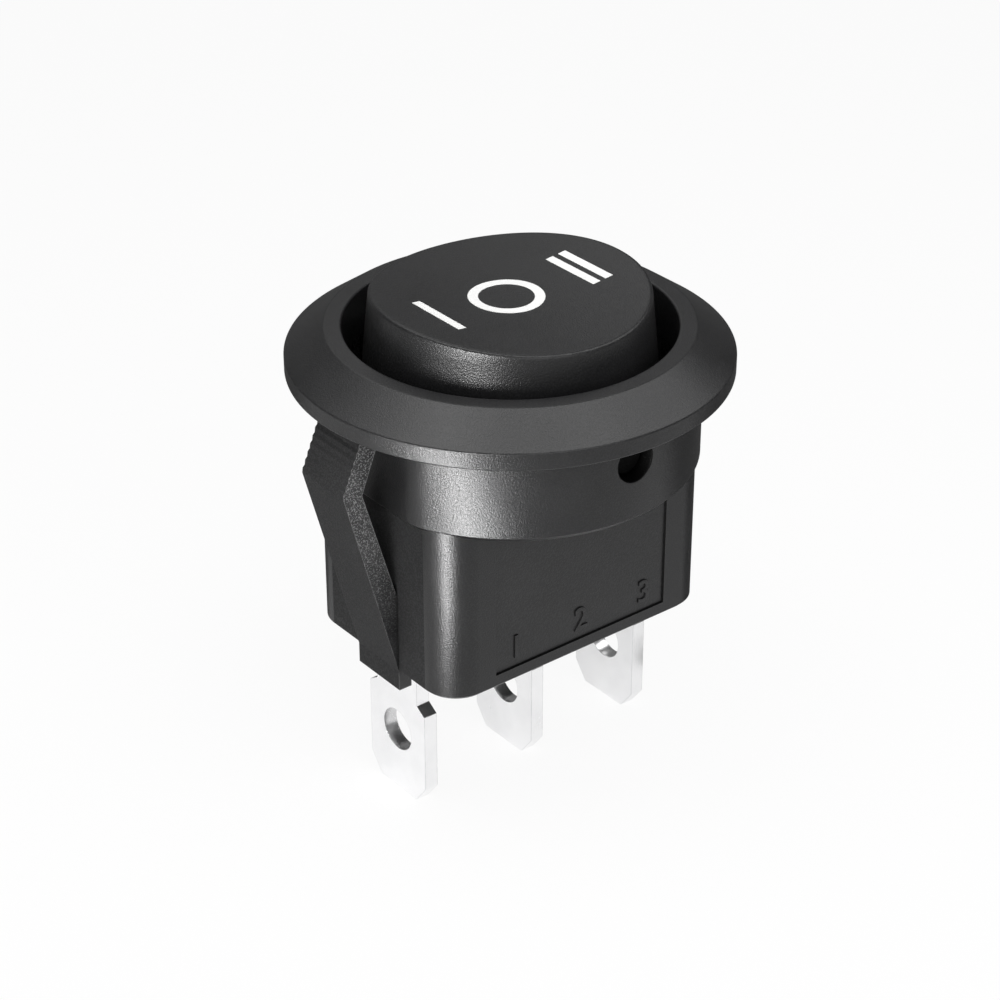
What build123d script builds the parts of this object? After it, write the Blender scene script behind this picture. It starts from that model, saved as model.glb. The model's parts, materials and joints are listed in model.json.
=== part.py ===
from build123d import *
from math import asin, cos, degrees, radians, sin, sqrt, tan
import os

# A round snap-in rocker switch with three positions, off in the middle. All sizes in millimetres.
# The origin is the centre of the flange's underside, which is the front face of the panel.
# +Z points out of the panel towards the finger, and +X runs along the row of blades.

# Running and assembly clearances
panel_clearance = 0.25
trunnion_clearance = 0.07
plunger_clearance = 0.08
slot_clearance = 0.05
seat_clearance = 0.03

# Flange, panel hole and collar
flange_diameter = 23.0
panel_hole_radius = 10.1
flange_side_height = 0.92
flange_height = 2.33
land_width = 0.93
rim_chamfer = 0.1
collar_wall = 1.31
collar_depth = 5.0
collar_chamfer = 0.3
collar_flat_cut = 0.75

# Box that holds the contacts
body_length = 17.4
body_width = 12.0
body_depth = 14.57
body_corner = 2.0
body_chamfer = 0.2
body_wall = 1.0
floor_thickness = 1.3
ledge_height = 0.8
cavity_corner = 1.6

# Shallow moulded panel on the front long side
panel_length = 11.34
panel_margin = 0.8
panel_recess = 0.12

# Snap clips at the two ends
clip_width = 3.5
clip_catch = 1.7
clip_bend_drop = 3.15
clip_tip_catch = 0.53
clip_tip_gap = 0.35
clip_thickness = 1.13
clip_inner_bend_lag = 0.17
clip_slot_depth = 9.93
tooth_count = 7
tooth_depth = 0.13
foot_height = 1.08
foot_thickness = 0.8

# Rocker
rocker_stand = 2.0
rocker_taper = 0.66
rocker_dish = 0.61
rocker_chamfer = 0.18
rocker_top_thickness = 0.95
rocker_skirt = 0.9
skirt_gap = 0.74
skirt_depth = 2.2
rocker_travel = 12.0
pivot_drop = 1.59
trunnion_radius = 1.0
trunnion_grip = 0.6
ear_radius = 1.9
ear_gap = 0.44
ear_thickness = 1.2
rib_thickness = 0.8
rib_depth = 1.2

# Stem, plunger and spring
stem_radius = 2.1
stem_depth = 6.0
bore_radius = 1.3
bore_top = 1.5
plunger_length = 4.4
plunger_drop = 8.62
wire_radius = 0.15
spring_gap = 0.15
spring_turns = 5
wire_sides = 6

# Marks on the rocker
mark_depth = 0.12
bar_offset = 4.5
bar_half_length = 1.9
bar_width = 0.5
bar_spacing = 0.82
ring_outer_radius = 1.97
ring_inner_radius = 1.42
ring_shift = -0.25

# Contact lever
lever_thickness = 0.5
lever_overhang = 1.2
lever_half_width = 2.1
lever_neck_half_width = 1.2
lever_notch_half_length = 0.75
lever_arm_rise = 4.0
lever_flat = 1.0
lever_ratio = 0.6666
nose_clearance = 0.05

# Contact rivets
contact_inset = 1.8
rivet_radius = 1.1
rivet_dome_radius = 2.4
rivet_head = 0.52
rivet_shank_radius = 0.6
rivet_tail_radius = 0.85
rivet_tail = 0.15
contact_gap = 0.03
fixed_contact_radius = 1.25
fixed_contact_height = 0.45
fixed_contact_chamfer = 0.1

# Terminals
terminal_wall_gap = 0.1
blade_width = 4.8
blade_thickness = 0.8
blade_neck = 3.5
blade_tip = 23.25
blade_shoulder = 17.1
shoulder_drop = 0.42
tip_chamfer_width = 0.85
tip_chamfer_height = 1.12
blade_hole_radius = 1.2
blade_hole_drop = 19.5
seat_thickness = 0.8
seat_overhang = 0.35
bend_radius = 0.7
cradle_ear_width = 0.6
cradle_ear_height = 1.0
cradle_ear_gap = 0.2
guide_thickness = 0.9
guide_height = 1.8

# Radii and heights that follow from the sizes above
collar_radius = panel_hole_radius - panel_clearance
flange_radius = flange_diameter / 2
collar_flat = collar_radius - collar_flat_cut
well_radius = collar_radius - collar_wall
land_radius = well_radius + land_width
body_end = body_length / 2
body_side = body_width / 2
blade_pitch = body_end - body_wall - terminal_wall_gap - blade_thickness / 2
contact_offset = blade_pitch - contact_inset
lever_half_length = contact_offset + lever_overhang
floor_top = floor_thickness - body_depth
ledge_top = ledge_height - collar_depth
skirt_radius = well_radius - skirt_gap
rocker_radius = skirt_radius - rocker_taper
rocker_edge = flange_height + rocker_stand
rocker_centre = rocker_edge - rocker_dish
dish_radius = (rocker_radius ** 2 + rocker_dish ** 2) / (2 * rocker_dish)
dish_axis = rocker_centre + dish_radius
rocker_ceiling = rocker_centre - rocker_top_thickness
ear_face = well_radius - ear_gap
lever_top = -plunger_drop - nose_clearance
lever_bottom = lever_top - lever_thickness
fulcrum_top = lever_bottom - seat_clearance
fulcrum_axis = fulcrum_top - blade_thickness / 2
cradle_gap = lever_neck_half_width + cradle_ear_gap

# Where the rivet's dome comes to when the lever closes, which sets the height of the fixed contacts
rise = radians(lever_arm_rise)
arm_bottom = lever_bottom + (contact_offset - lever_flat) * tan(rise)
dome_centre_x = contact_offset - (rivet_dome_radius - rivet_head) * sin(rise)
dome_centre_z = arm_bottom + (rivet_dome_radius - rivet_head) * cos(rise)
closing = radians(rocker_travel * lever_ratio)
closed_centre_z = (
    fulcrum_axis + (dome_centre_z - fulcrum_axis) * cos(closing) - dome_centre_x * sin(closing)
)
fixed_contact_top = closed_centre_z - rivet_dome_radius - contact_gap
seat_top = fixed_contact_top - fixed_contact_height
seat_bottom = seat_top - seat_thickness


def clip_profile():
    """Outline of one snap clip in the XZ plane: toothed above its bend, rooted low on the end wall."""
    tip_x = panel_hole_radius + clip_tip_catch
    bend_x = panel_hole_radius + clip_catch
    bottom = -body_depth - foot_height
    outer = []
    for tooth in range(tooth_count):
        share = tooth / tooth_count
        x = tip_x + (bend_x - tip_x) * share
        z = -clip_tip_gap - (clip_bend_drop - clip_tip_gap) * share
        outer.append((x, z))
        outer.append((x + tooth_depth, z - tooth_depth))
    return [
        (tip_x - clip_thickness, -clip_tip_gap),
        *outer,
        (bend_x, -clip_bend_drop),
        (body_end, -body_depth),
        (body_end, bottom),
        (body_end - foot_thickness, bottom),
        (body_end - foot_thickness, -clip_slot_depth),
        (body_end, -clip_slot_depth),
        (bend_x - clip_thickness, -clip_bend_drop - clip_inner_bend_lag),
    ]


def ends():
    """The two ends of the switch, as the signs of X."""
    return (-1, 1)


# Housing: flange, collar, contact box, clips and feet are one moulding
with BuildPart() as housing:
    with BuildSketch(Plane.XY.offset(-collar_depth)):
        Circle(collar_radius)
        Rectangle(2 * collar_flat, 2 * collar_radius, mode=Mode.INTERSECT)
    extrude(amount=collar_depth)
    chamfer(housing.faces().sort_by(Axis.Z)[0].edges(), collar_chamfer)

    with BuildSketch(Plane.XY.offset(-body_depth)):
        RectangleRounded(body_length, body_width, body_corner)
    extrude(amount=body_depth)
    chamfer(housing.faces().sort_by(Axis.Z)[0].edges(), body_chamfer)

    with BuildSketch(Plane.XZ):
        with BuildLine():
            Polyline(
                (0, 0),
                (flange_radius, 0),
                (flange_radius, flange_side_height),
                (land_radius, flange_height),
                (0, flange_height),
                close=True,
            )
        make_face()
    revolve(axis=Axis.Z)
    rim = housing.edges().filter_by(GeomType.CIRCLE)
    chamfer(rim.filter_by(lambda e: abs(e.radius - flange_radius) < seat_clearance), rim_chamfer)

    # Well for the rocker, then the narrower cavity for the contacts
    with BuildSketch(Plane.XY.offset(flange_height)):
        Circle(well_radius)
    extrude(amount=ledge_top - flange_height, mode=Mode.SUBTRACT)
    well_mouth = housing.edges().filter_by(GeomType.CIRCLE).group_by(Axis.Z)[-1]
    chamfer(well_mouth.sort_by(lambda e: e.radius)[0], rim_chamfer)
    with BuildSketch(Plane.XY.offset(ledge_top)):
        RectangleRounded(body_length - 2 * body_wall, body_width - 2 * body_wall, cavity_corner)
    extrude(amount=floor_top - ledge_top, mode=Mode.SUBTRACT)

    # Holes for the rocker's trunnions, through both sides of the collar
    with BuildSketch(Plane.XZ.offset(-collar_radius)):
        with Locations((0, -pivot_drop)):
            Circle(trunnion_radius + trunnion_clearance)
    extrude(amount=2 * collar_radius, mode=Mode.SUBTRACT)

    # Guides beside the middle blade, and pads under the seats of the outer ones
    guide_x = blade_thickness / 2 + slot_clearance + guide_thickness / 2
    guide_y = body_side - body_wall
    with BuildSketch(Plane.XY.offset(floor_top)):
        with Locations((-guide_x, 0), (guide_x, 0)):
            Rectangle(guide_thickness, 2 * guide_y)
    extrude(amount=guide_height)
    pad_end = blade_pitch - blade_thickness / 2 - bend_radius
    pad_start = contact_offset - fixed_contact_radius
    with BuildSketch(Plane.XY.offset(floor_top)):
        with Locations(*[(end * (pad_start + pad_end) / 2, 0) for end in ends()]):
            Rectangle(pad_end - pad_start, 2 * guide_y)
    extrude(amount=seat_bottom - seat_clearance - floor_top)

    # Slots in the floor for the three blades
    with BuildSketch(Plane.XY.offset(floor_top)):
        with GridLocations(blade_pitch, 0, 3, 1):
            Rectangle(blade_thickness + 2 * slot_clearance, blade_neck + 2 * slot_clearance)
    extrude(amount=-floor_thickness, mode=Mode.SUBTRACT)

    # Snap clips and the feet they stand on
    with BuildSketch(Plane.XZ.offset(-clip_width / 2)) as clips:
        with BuildLine():
            Polyline(*clip_profile(), close=True)
        make_face()
        mirror(about=Plane.YZ)
    extrude(amount=clip_width)

    # Moulded panel, sunk a little into the front side below the collar
    panel_bottom = panel_margin - body_depth
    with BuildSketch(Plane.XZ.offset(body_side)):
        with Locations((0, (panel_bottom - collar_depth) / 2)):
            Rectangle(panel_length, -collar_depth - panel_bottom)
    extrude(amount=-panel_recess, mode=Mode.SUBTRACT)

# Dished top of the rocker, as the cylinder that hollows it
with BuildPart() as dish:
    with BuildSketch(Plane.XZ.offset(-flange_radius)):
        with Locations((0, dish_axis)):
            Circle(dish_radius)
    extrude(amount=2 * flange_radius)

with BuildPart() as dish_floor:
    with BuildSketch(Plane.XZ.offset(-flange_radius)):
        with Locations((0, dish_axis)):
            Circle(dish_radius + mark_depth)
    extrude(amount=2 * flange_radius)


def mark(shapes):
    """One filled mark: its outline raised from below the top, kept between the dish and its floor."""
    with BuildPart() as filled:
        with BuildSketch(Plane.XY.offset(rocker_ceiling)):
            shapes()
        extrude(amount=rocker_edge + rocker_stand - rocker_ceiling)
        add(dish_floor.part, mode=Mode.INTERSECT)
        add(dish.part, mode=Mode.SUBTRACT)
    return filled


def one_bar():
    """A single bar across the rocker, near its -X end."""
    with Locations((-bar_offset, 0)):
        Rectangle(bar_width, 2 * bar_half_length)


def two_bars():
    """A pair of bars across the rocker, near its +X end."""
    with Locations((bar_offset - bar_spacing / 2, 0), (bar_offset + bar_spacing / 2, 0)):
        Rectangle(bar_width, 2 * bar_half_length)


def off_ring():
    """The ring of the off position."""
    with Locations((ring_shift, 0)):
        Circle(ring_outer_radius)
        Circle(ring_inner_radius, mode=Mode.SUBTRACT)


legend_one = mark(one_bar)
legend_off = mark(off_ring)
legend_two = mark(two_bars)

# Rocker: button, skirt, ears, trunnions and stem are one moulding
with BuildPart() as rocker:
    with BuildSketch(Plane.XZ):
        with BuildLine():
            Polyline(
                (0, -skirt_depth),
                (skirt_radius, -skirt_depth),
                (rocker_radius, rocker_edge),
                (0, rocker_edge),
                close=True,
            )
        make_face()
    revolve(axis=Axis.Z)
    add(dish.part, mode=Mode.SUBTRACT)
    top = rocker.faces().sort_by(Axis.Z)[-1]
    chamfer(top.edges(), rocker_chamfer)

    # Hollow underside
    with BuildSketch(Plane.XZ):
        with BuildLine():
            Polyline(
                (0, -skirt_depth),
                (skirt_radius - rocker_skirt, -skirt_depth),
                (rocker_radius - rocker_skirt, rocker_ceiling),
                (0, rocker_ceiling),
                close=True,
            )
        make_face()
    revolve(axis=Axis.Z, mode=Mode.SUBTRACT)

    # Ribs from the stem to the skirt, then the stem itself
    with BuildSketch(Plane.XY.offset(-rib_depth)):
        Rectangle(2 * (rocker_radius - rocker_skirt / 2), rib_thickness)
        Rectangle(rib_thickness, 2 * (rocker_radius - rocker_skirt / 2))
    extrude(amount=rocker_ceiling + rib_depth)
    with BuildSketch(Plane.XY.offset(-stem_depth)):
        Circle(stem_radius)
    extrude(amount=rocker_ceiling + stem_depth)

    # Ears that carry the trunnions down to the pivot
    for end in ends():
        with BuildSketch(Plane.XZ.offset(end * ear_face)):
            with Locations((0, -pivot_drop)):
                Circle(ear_radius)
        extrude(amount=-end * ear_thickness)
        with BuildSketch(Plane.XZ.offset(end * (well_radius + trunnion_grip))):
            with Locations((0, -pivot_drop)):
                Circle(trunnion_radius)
        extrude(amount=end * (ear_face - well_radius - trunnion_grip))

    with BuildSketch(Plane.XY.offset(-stem_depth)):
        Circle(bore_radius)
    extrude(amount=bore_top + stem_depth, mode=Mode.SUBTRACT)

    for filled in (legend_one, legend_off, legend_two):
        add(filled.part, mode=Mode.SUBTRACT)

# Plunger: a round-nosed pin that slides in the stem
plunger_radius = bore_radius - plunger_clearance
plunger_back = plunger_length - plunger_drop
with BuildPart() as plunger:
    with BuildSketch(Plane.XZ):
        with BuildLine():
            Line((0, plunger_back), (plunger_radius, plunger_back))
            Line((plunger_radius, plunger_back), (plunger_radius, plunger_radius - plunger_drop))
            RadiusArc(
                (plunger_radius, plunger_radius - plunger_drop), (0, -plunger_drop), plunger_radius
            )
            Line((0, -plunger_drop), (0, plunger_back))
        make_face()
    revolve(axis=Axis.Z)

# Spring between the plunger's back and the end of the stem's bore
coil_radius = bore_radius - spring_gap - wire_radius
spring_bottom = plunger_back + wire_radius + seat_clearance
spring_top = bore_top - wire_radius - seat_clearance
spring_pitch = (spring_top - spring_bottom) / spring_turns
with BuildPart() as spring:
    with BuildLine(Plane.XY.offset(spring_bottom)):
        coil = Helix(spring_pitch, spring_top - spring_bottom, coil_radius)
    with BuildSketch(Plane(origin=coil @ 0, z_dir=coil % 0)):
        RegularPolygon(wire_radius, wire_sides)
    sweep()


def arm_plane(end):
    """Plane on the underside of one lever arm at its contact, with its normal up through the arm."""
    return Plane(
        origin=(end * contact_offset, 0, arm_bottom),
        x_dir=(cos(rise), 0, end * sin(rise)),
        z_dir=(-end * sin(rise), 0, cos(rise)),
    )


# Contact lever: a shallow V of brass, necked where it sits in its cradle
with BuildPart() as contact_lever:
    tip_rise = (lever_half_length - lever_flat) * tan(rise)
    with BuildSketch(Plane.XZ.offset(-lever_half_width)):
        with BuildLine():
            Polyline(
                (-lever_half_length, lever_bottom + tip_rise),
                (-lever_flat, lever_bottom),
                (lever_flat, lever_bottom),
                (lever_half_length, lever_bottom + tip_rise),
                (lever_half_length, lever_top + tip_rise),
                (lever_flat, lever_top),
                (-lever_flat, lever_top),
                (-lever_half_length, lever_top + tip_rise),
                close=True,
            )
        make_face()
    extrude(amount=2 * lever_half_width)
    notch_depth = lever_half_width - lever_neck_half_width
    notch_y = lever_half_width - notch_depth / 2
    with BuildSketch(Plane.XY.offset(lever_bottom)):
        with Locations((0, -notch_y), (0, notch_y)):
            Rectangle(2 * lever_notch_half_length, notch_depth)
    extrude(amount=lever_thickness, mode=Mode.SUBTRACT)
    for end in ends():
        with BuildSketch(arm_plane(end)):
            Circle(rivet_shank_radius)
        extrude(amount=lever_thickness, both=True, mode=Mode.SUBTRACT)


def moving_contact(end):
    """Silver rivet through one lever arm, with a domed head below and a spread tail above."""
    arm_thickness = lever_thickness * cos(rise)
    head_edge = rivet_head - rivet_dome_radius + sqrt(rivet_dome_radius ** 2 - rivet_radius ** 2)
    with BuildPart() as rivet:
        with BuildSketch(arm_plane(end)):
            Circle(rivet_shank_radius)
        extrude(amount=arm_thickness)
        with BuildSketch(arm_plane(end).offset(arm_thickness)):
            Circle(rivet_tail_radius)
        extrude(amount=rivet_tail)
        place = arm_plane(end)
        side = Plane(origin=place.origin, x_dir=place.x_dir, z_dir=-place.y_dir)
        with BuildSketch(side):
            with BuildLine():
                Line((0, -rivet_head), (0, 0))
                Line((0, 0), (rivet_radius, 0))
                Line((rivet_radius, 0), (rivet_radius, -head_edge))
                RadiusArc((rivet_radius, -head_edge), (0, -rivet_head), rivet_dome_radius)
            make_face()
        revolve(axis=Axis(place.origin, place.z_dir))
    return rivet


moving_contact_one = moving_contact(-1)
moving_contact_two = moving_contact(1)


def blade_outline(top):
    """Sketch outline of a blade seen along X: chamfered tip, shoulders and a narrower neck up to top."""
    half = blade_width / 2
    neck = blade_neck / 2
    right = [
        (half - tip_chamfer_width, -blade_tip),
        (half, tip_chamfer_height - blade_tip),
        (half, -blade_shoulder - shoulder_drop),
        (neck, -blade_shoulder),
        (neck, top),
    ]
    return right + [(-y, z) for y, z in reversed(right)]


def outer_terminal(end):
    """Outer terminal: a blade whose top is bent inwards to make the seat of its fixed contact."""
    outer_face = blade_pitch + blade_thickness / 2
    inner_face = blade_pitch - blade_thickness / 2
    seat_end = contact_offset - fixed_contact_radius - seat_overhang
    with BuildPart() as terminal:
        with BuildSketch(Plane.YZ.offset(end * blade_pitch)):
            with BuildLine():
                Polyline(*blade_outline(seat_bottom - bend_radius), close=True)
            make_face()
            with Locations((0, -blade_hole_drop)):
                Circle(blade_hole_radius, mode=Mode.SUBTRACT)
        extrude(amount=blade_thickness / 2, both=True)
        with BuildSketch(Plane.XZ.offset(-blade_neck / 2)):
            with BuildLine():
                Line((end * seat_end, seat_top), (end * (inner_face - bend_radius), seat_top))
                Line((end * (inner_face - bend_radius), seat_top), (end * outer_face, seat_top))
                Line((end * outer_face, seat_top), (end * outer_face, seat_bottom - bend_radius))
                Line(
                    (end * outer_face, seat_bottom - bend_radius),
                    (end * inner_face, seat_bottom - bend_radius),
                )
                RadiusArc(
                    (end * inner_face, seat_bottom - bend_radius),
                    (end * (inner_face - bend_radius), seat_bottom),
                    -end * bend_radius,
                )
                Line((end * (inner_face - bend_radius), seat_bottom), (end * seat_end, seat_bottom))
                Line((end * seat_end, seat_bottom), (end * seat_end, seat_top))
            make_face()
        extrude(amount=blade_neck)
        corner = terminal.edges().filter_by(Axis.Y).group_by(Axis.Z)[-1]
        outer_bend = bend_radius + seat_thickness / 2
        fillet(corner.sort_by(lambda e: abs(e.center().X))[-1], outer_bend)
    return terminal


def fixed_contact(end):
    """Silver contact on the seat of one outer terminal."""
    with BuildPart() as button:
        with BuildSketch(Plane.XY.offset(seat_top)):
            with Locations((end * contact_offset, 0)):
                Circle(fixed_contact_radius)
        extrude(amount=fixed_contact_height)
        chamfer(button.faces().sort_by(Axis.Z)[-1].edges(), fixed_contact_chamfer)
    return button


terminal_one = outer_terminal(-1)
terminal_two = outer_terminal(1)
fixed_contact_one = fixed_contact(-1)
fixed_contact_two = fixed_contact(1)

# Common terminal: the middle blade, whose rounded top edge is the lever's fulcrum
with BuildPart() as common_terminal:
    ear_outer = cradle_gap + cradle_ear_width
    with BuildSketch(Plane.YZ):
        with BuildLine():
            Polyline(*blade_outline(floor_top), close=True)
        make_face()
        with Locations((0, -blade_hole_drop)):
            Circle(blade_hole_radius, mode=Mode.SUBTRACT)
        with Locations((0, (floor_top + fulcrum_axis) / 2)):
            Rectangle(2 * ear_outer, fulcrum_axis - floor_top)
        for side in ends():
            with Locations((side * (cradle_gap + cradle_ear_width / 2), fulcrum_top)):
                Rectangle(cradle_ear_width, 2 * cradle_ear_height)
    extrude(amount=blade_thickness / 2, both=True)
    with BuildSketch(Plane.XZ.offset(-ear_outer)):
        with Locations((0, fulcrum_axis)):
            Circle(blade_thickness / 2)
    extrude(amount=2 * ear_outer)

pieces = {
    "housing": housing,
    "rocker": rocker,
    "legend_one": legend_one,
    "legend_off": legend_off,
    "legend_two": legend_two,
    "plunger": plunger,
    "spring": spring,
    "contact_lever": contact_lever,
    "moving_contact_one": moving_contact_one,
    "moving_contact_two": moving_contact_two,
    "common_terminal": common_terminal,
    "terminal_one": terminal_one,
    "terminal_two": terminal_two,
    "fixed_contact_one": fixed_contact_one,
    "fixed_contact_two": fixed_contact_two,
}
os.makedirs("parts", exist_ok=True)
for name, piece in pieces.items():
    piece.part.label = name
    export_step(piece.part, f"parts/{name}.step")
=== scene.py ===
"""Round three-position rocker switch, dressed for its picture.

Lengths in this file are in millimetres in the switch's own frame: the origin is the middle of the
flange's underside, +Z points out of the panel and +X runs along the row of blades. They become
metres when a mesh is made.
"""

from __future__ import annotations

import json
import logging
import math
from dataclasses import dataclass
from enum import Enum
from typing import Callable, Iterable, Optional, Sequence, Union

import bmesh
import bpy
from bmesh.types import BMesh, BMFace
from bpy.types import ID, Material, Mesh, Node, NodeOutputs, NodeSocket, NodeTree, Object
from mathutils import Matrix, Vector

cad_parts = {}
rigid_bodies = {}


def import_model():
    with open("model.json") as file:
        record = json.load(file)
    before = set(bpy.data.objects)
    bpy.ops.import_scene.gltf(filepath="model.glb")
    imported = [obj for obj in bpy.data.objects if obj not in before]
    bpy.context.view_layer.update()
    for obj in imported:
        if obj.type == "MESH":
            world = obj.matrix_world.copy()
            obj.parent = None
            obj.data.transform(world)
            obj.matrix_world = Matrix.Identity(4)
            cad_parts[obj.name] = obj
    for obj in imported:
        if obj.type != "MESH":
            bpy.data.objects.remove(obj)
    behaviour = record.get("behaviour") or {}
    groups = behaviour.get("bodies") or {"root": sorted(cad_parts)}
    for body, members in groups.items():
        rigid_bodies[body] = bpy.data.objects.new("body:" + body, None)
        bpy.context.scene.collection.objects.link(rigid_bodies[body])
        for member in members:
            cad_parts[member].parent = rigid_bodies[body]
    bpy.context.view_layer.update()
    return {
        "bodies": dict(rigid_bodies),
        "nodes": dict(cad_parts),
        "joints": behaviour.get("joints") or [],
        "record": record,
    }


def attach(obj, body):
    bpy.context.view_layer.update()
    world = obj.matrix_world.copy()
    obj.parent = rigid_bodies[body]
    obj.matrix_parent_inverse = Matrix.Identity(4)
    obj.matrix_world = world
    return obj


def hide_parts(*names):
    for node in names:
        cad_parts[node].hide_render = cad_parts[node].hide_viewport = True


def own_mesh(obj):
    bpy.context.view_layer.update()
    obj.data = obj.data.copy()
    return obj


MM = 0.001
SHARP_BEND = 0.45
SAME_WAY = 0.9999
LOG = logging.getLogger("switch")
Point2 = tuple[float, float]
Point3 = tuple[float, float, float]
Corner = tuple[float, float, float]
Colour = tuple[float, float, float]
FaceTest = Callable[[BMFace], bool]
Feed = Union[NodeSocket, float, Sequence[float]]
Feeds = dict[Union[str, int], Feed]
Results = dict[str, NodeSocket]
Span = tuple[float, float, float, float]


class Body(Enum):
    """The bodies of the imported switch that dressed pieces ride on."""

    BASE = "base"
    BUTTON = "button"


class End(Enum):
    """The two ends of the row of blades, as the sign of X."""

    ONE_BAR = -1
    TWO_BARS = 1


class Wall(Enum):
    """How a turned ring of the bezel is shaped round its axis."""

    ROUND = "round"
    FLATTED = "flatted"
    CAVITY = "cavity"


# Small tools of the bench: outlines, turned forms and prisms


def polar(radius: float, angle: float) -> Point2:
    """Point at a radius and an angle in radians."""
    return radius * math.cos(angle), radius * math.sin(angle)


def eased_outline(corners: Sequence[Corner], steps: int = 4, closed: bool = True) -> list[Point2]:
    """Rounds the corners of an outline with arcs.

    Args:
        corners: Points as (x, y, radius); a radius of 0 keeps the corner sharp.
        steps: Pieces that each arc is divided into.
        closed: Whether the last point joins the first.

    Returns:
        The outline's points, arcs included.
    """
    made: list[Point2] = []
    count = len(corners)
    for i, (x, y, radius) in enumerate(corners):
        at_end = not closed and i in (0, count - 1)
        if radius <= 0 or at_end:
            made.append((x, y))
            continue
        here = Vector((x, y))
        before = (Vector(corners[i - 1][:2]) - here)
        after = (Vector(corners[(i + 1) % count][:2]) - here)
        half = before.angle(after) / 2
        reach = min(radius / math.tan(half), before.length * 0.49, after.length * 0.49)
        radius = reach * math.tan(half)
        start = here + before.normalized() * reach
        stop = here + after.normalized() * reach
        middle = here + (before.normalized() + after.normalized()).normalized() * (
            radius / math.sin(half)
        )
        first, last = start - middle, stop - middle
        turn = first.angle_signed(last)
        for k in range(steps + 1):
            point = middle + Matrix.Rotation(-turn * k / steps, 2) @ first
            made.append((point.x, point.y))
    return made


def held(points: Sequence[Point2], grip: float = 0.03) -> list[Point2]:
    """Adds a point near both ends of each long run, so that flats stay flat in smooth shading.

    Args:
        points: A row of points.
        grip: Distance of the added points from the ends.

    Returns:
        The row with the added points.
    """
    made: list[Point2] = []
    for start, stop in zip(points, points[1:]):
        a, b = Vector(start), Vector(stop)
        made.append(tuple(a))
        if (b - a).length > 4 * grip:
            step = (b - a).normalized() * grip
            made.append(tuple(a + step))
            made.append(tuple(b - step))
    made.append(tuple(points[-1]))
    return made


def past_arc(x: float, y: float, middle: Point2, radius: float) -> float:
    """How far a ray from the origin goes in a direction until it leaves a circle."""
    along = x * middle[0] + y * middle[1]
    return along + math.sqrt(max(0.0, along**2 - middle[0] ** 2 - middle[1] ** 2 + radius**2))


def rounded_rectangle(length: float, width: float, radius: float, steps: int = 10) -> list[Point2]:
    """Outline of a rectangle with round corners, centred on the origin, anticlockwise."""
    x, y = length / 2, width / 2
    corners = [(-x, -y, radius), (x, -y, radius), (x, y, radius), (-x, y, radius)]
    return eased_outline(corners, steps)


def quads_between(bm: BMesh, a: Sequence, b: Sequence, closed: bool = True) -> None:
    """Joins two rows of vertices of equal number with four-sided faces.

    Args:
        bm: The mesh.
        a: First row.
        b: Second row.
        closed: Whether the rows are loops.
    """
    count = len(a)
    for i in range(count if closed else count - 1):
        k = (i + 1) % count
        if a[i] is a[k] or b[i] is b[k]:
            continue
        bm.faces.new((a[i], a[k], b[k], b[i]))


def ring_of(bm: BMesh, points: Iterable[Sequence[float]]) -> list:
    """Adds a row of vertices and returns it."""
    return [bm.verts.new(point) for point in points]


def edges_round(bm: BMesh, loop: Sequence) -> list:
    """The edges of a closed row of vertices, made where they are missing."""
    found = []
    for i, vert in enumerate(loop):
        other = loop[(i + 1) % len(loop)]
        found.append(bm.edges.get((vert, other)) or bm.edges.new((vert, other)))
    return found


def turned(profile: Sequence[Point2], columns: int, height: float) -> BMesh:
    """Turns a profile about an axis that runs along Y.

    Args:
        profile: Points as (radius, place along Y), from end to end.
        columns: Number of divisions round the axis.
        height: The axis's height.

    Returns:
        A new mesh.
    """
    bm = bmesh.new()
    rows = []
    for radius, along in profile:
        points = [polar(radius, math.tau * i / columns) for i in range(columns if radius else 1)]
        row = ring_of(bm, [(x, along, height - y) for x, y in points])
        rows.append(row * columns if len(row) == 1 else row)
    for a, b in zip(rows, rows[1:]):
        for i in range(columns):
            k = (i + 1) % columns
            face = []
            for vert in (a[i], a[k], b[k], b[i]):
                if vert not in face:
                    face.append(vert)
            if len(face) > 2:
                bm.faces.new(face)
    return bm


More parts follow.
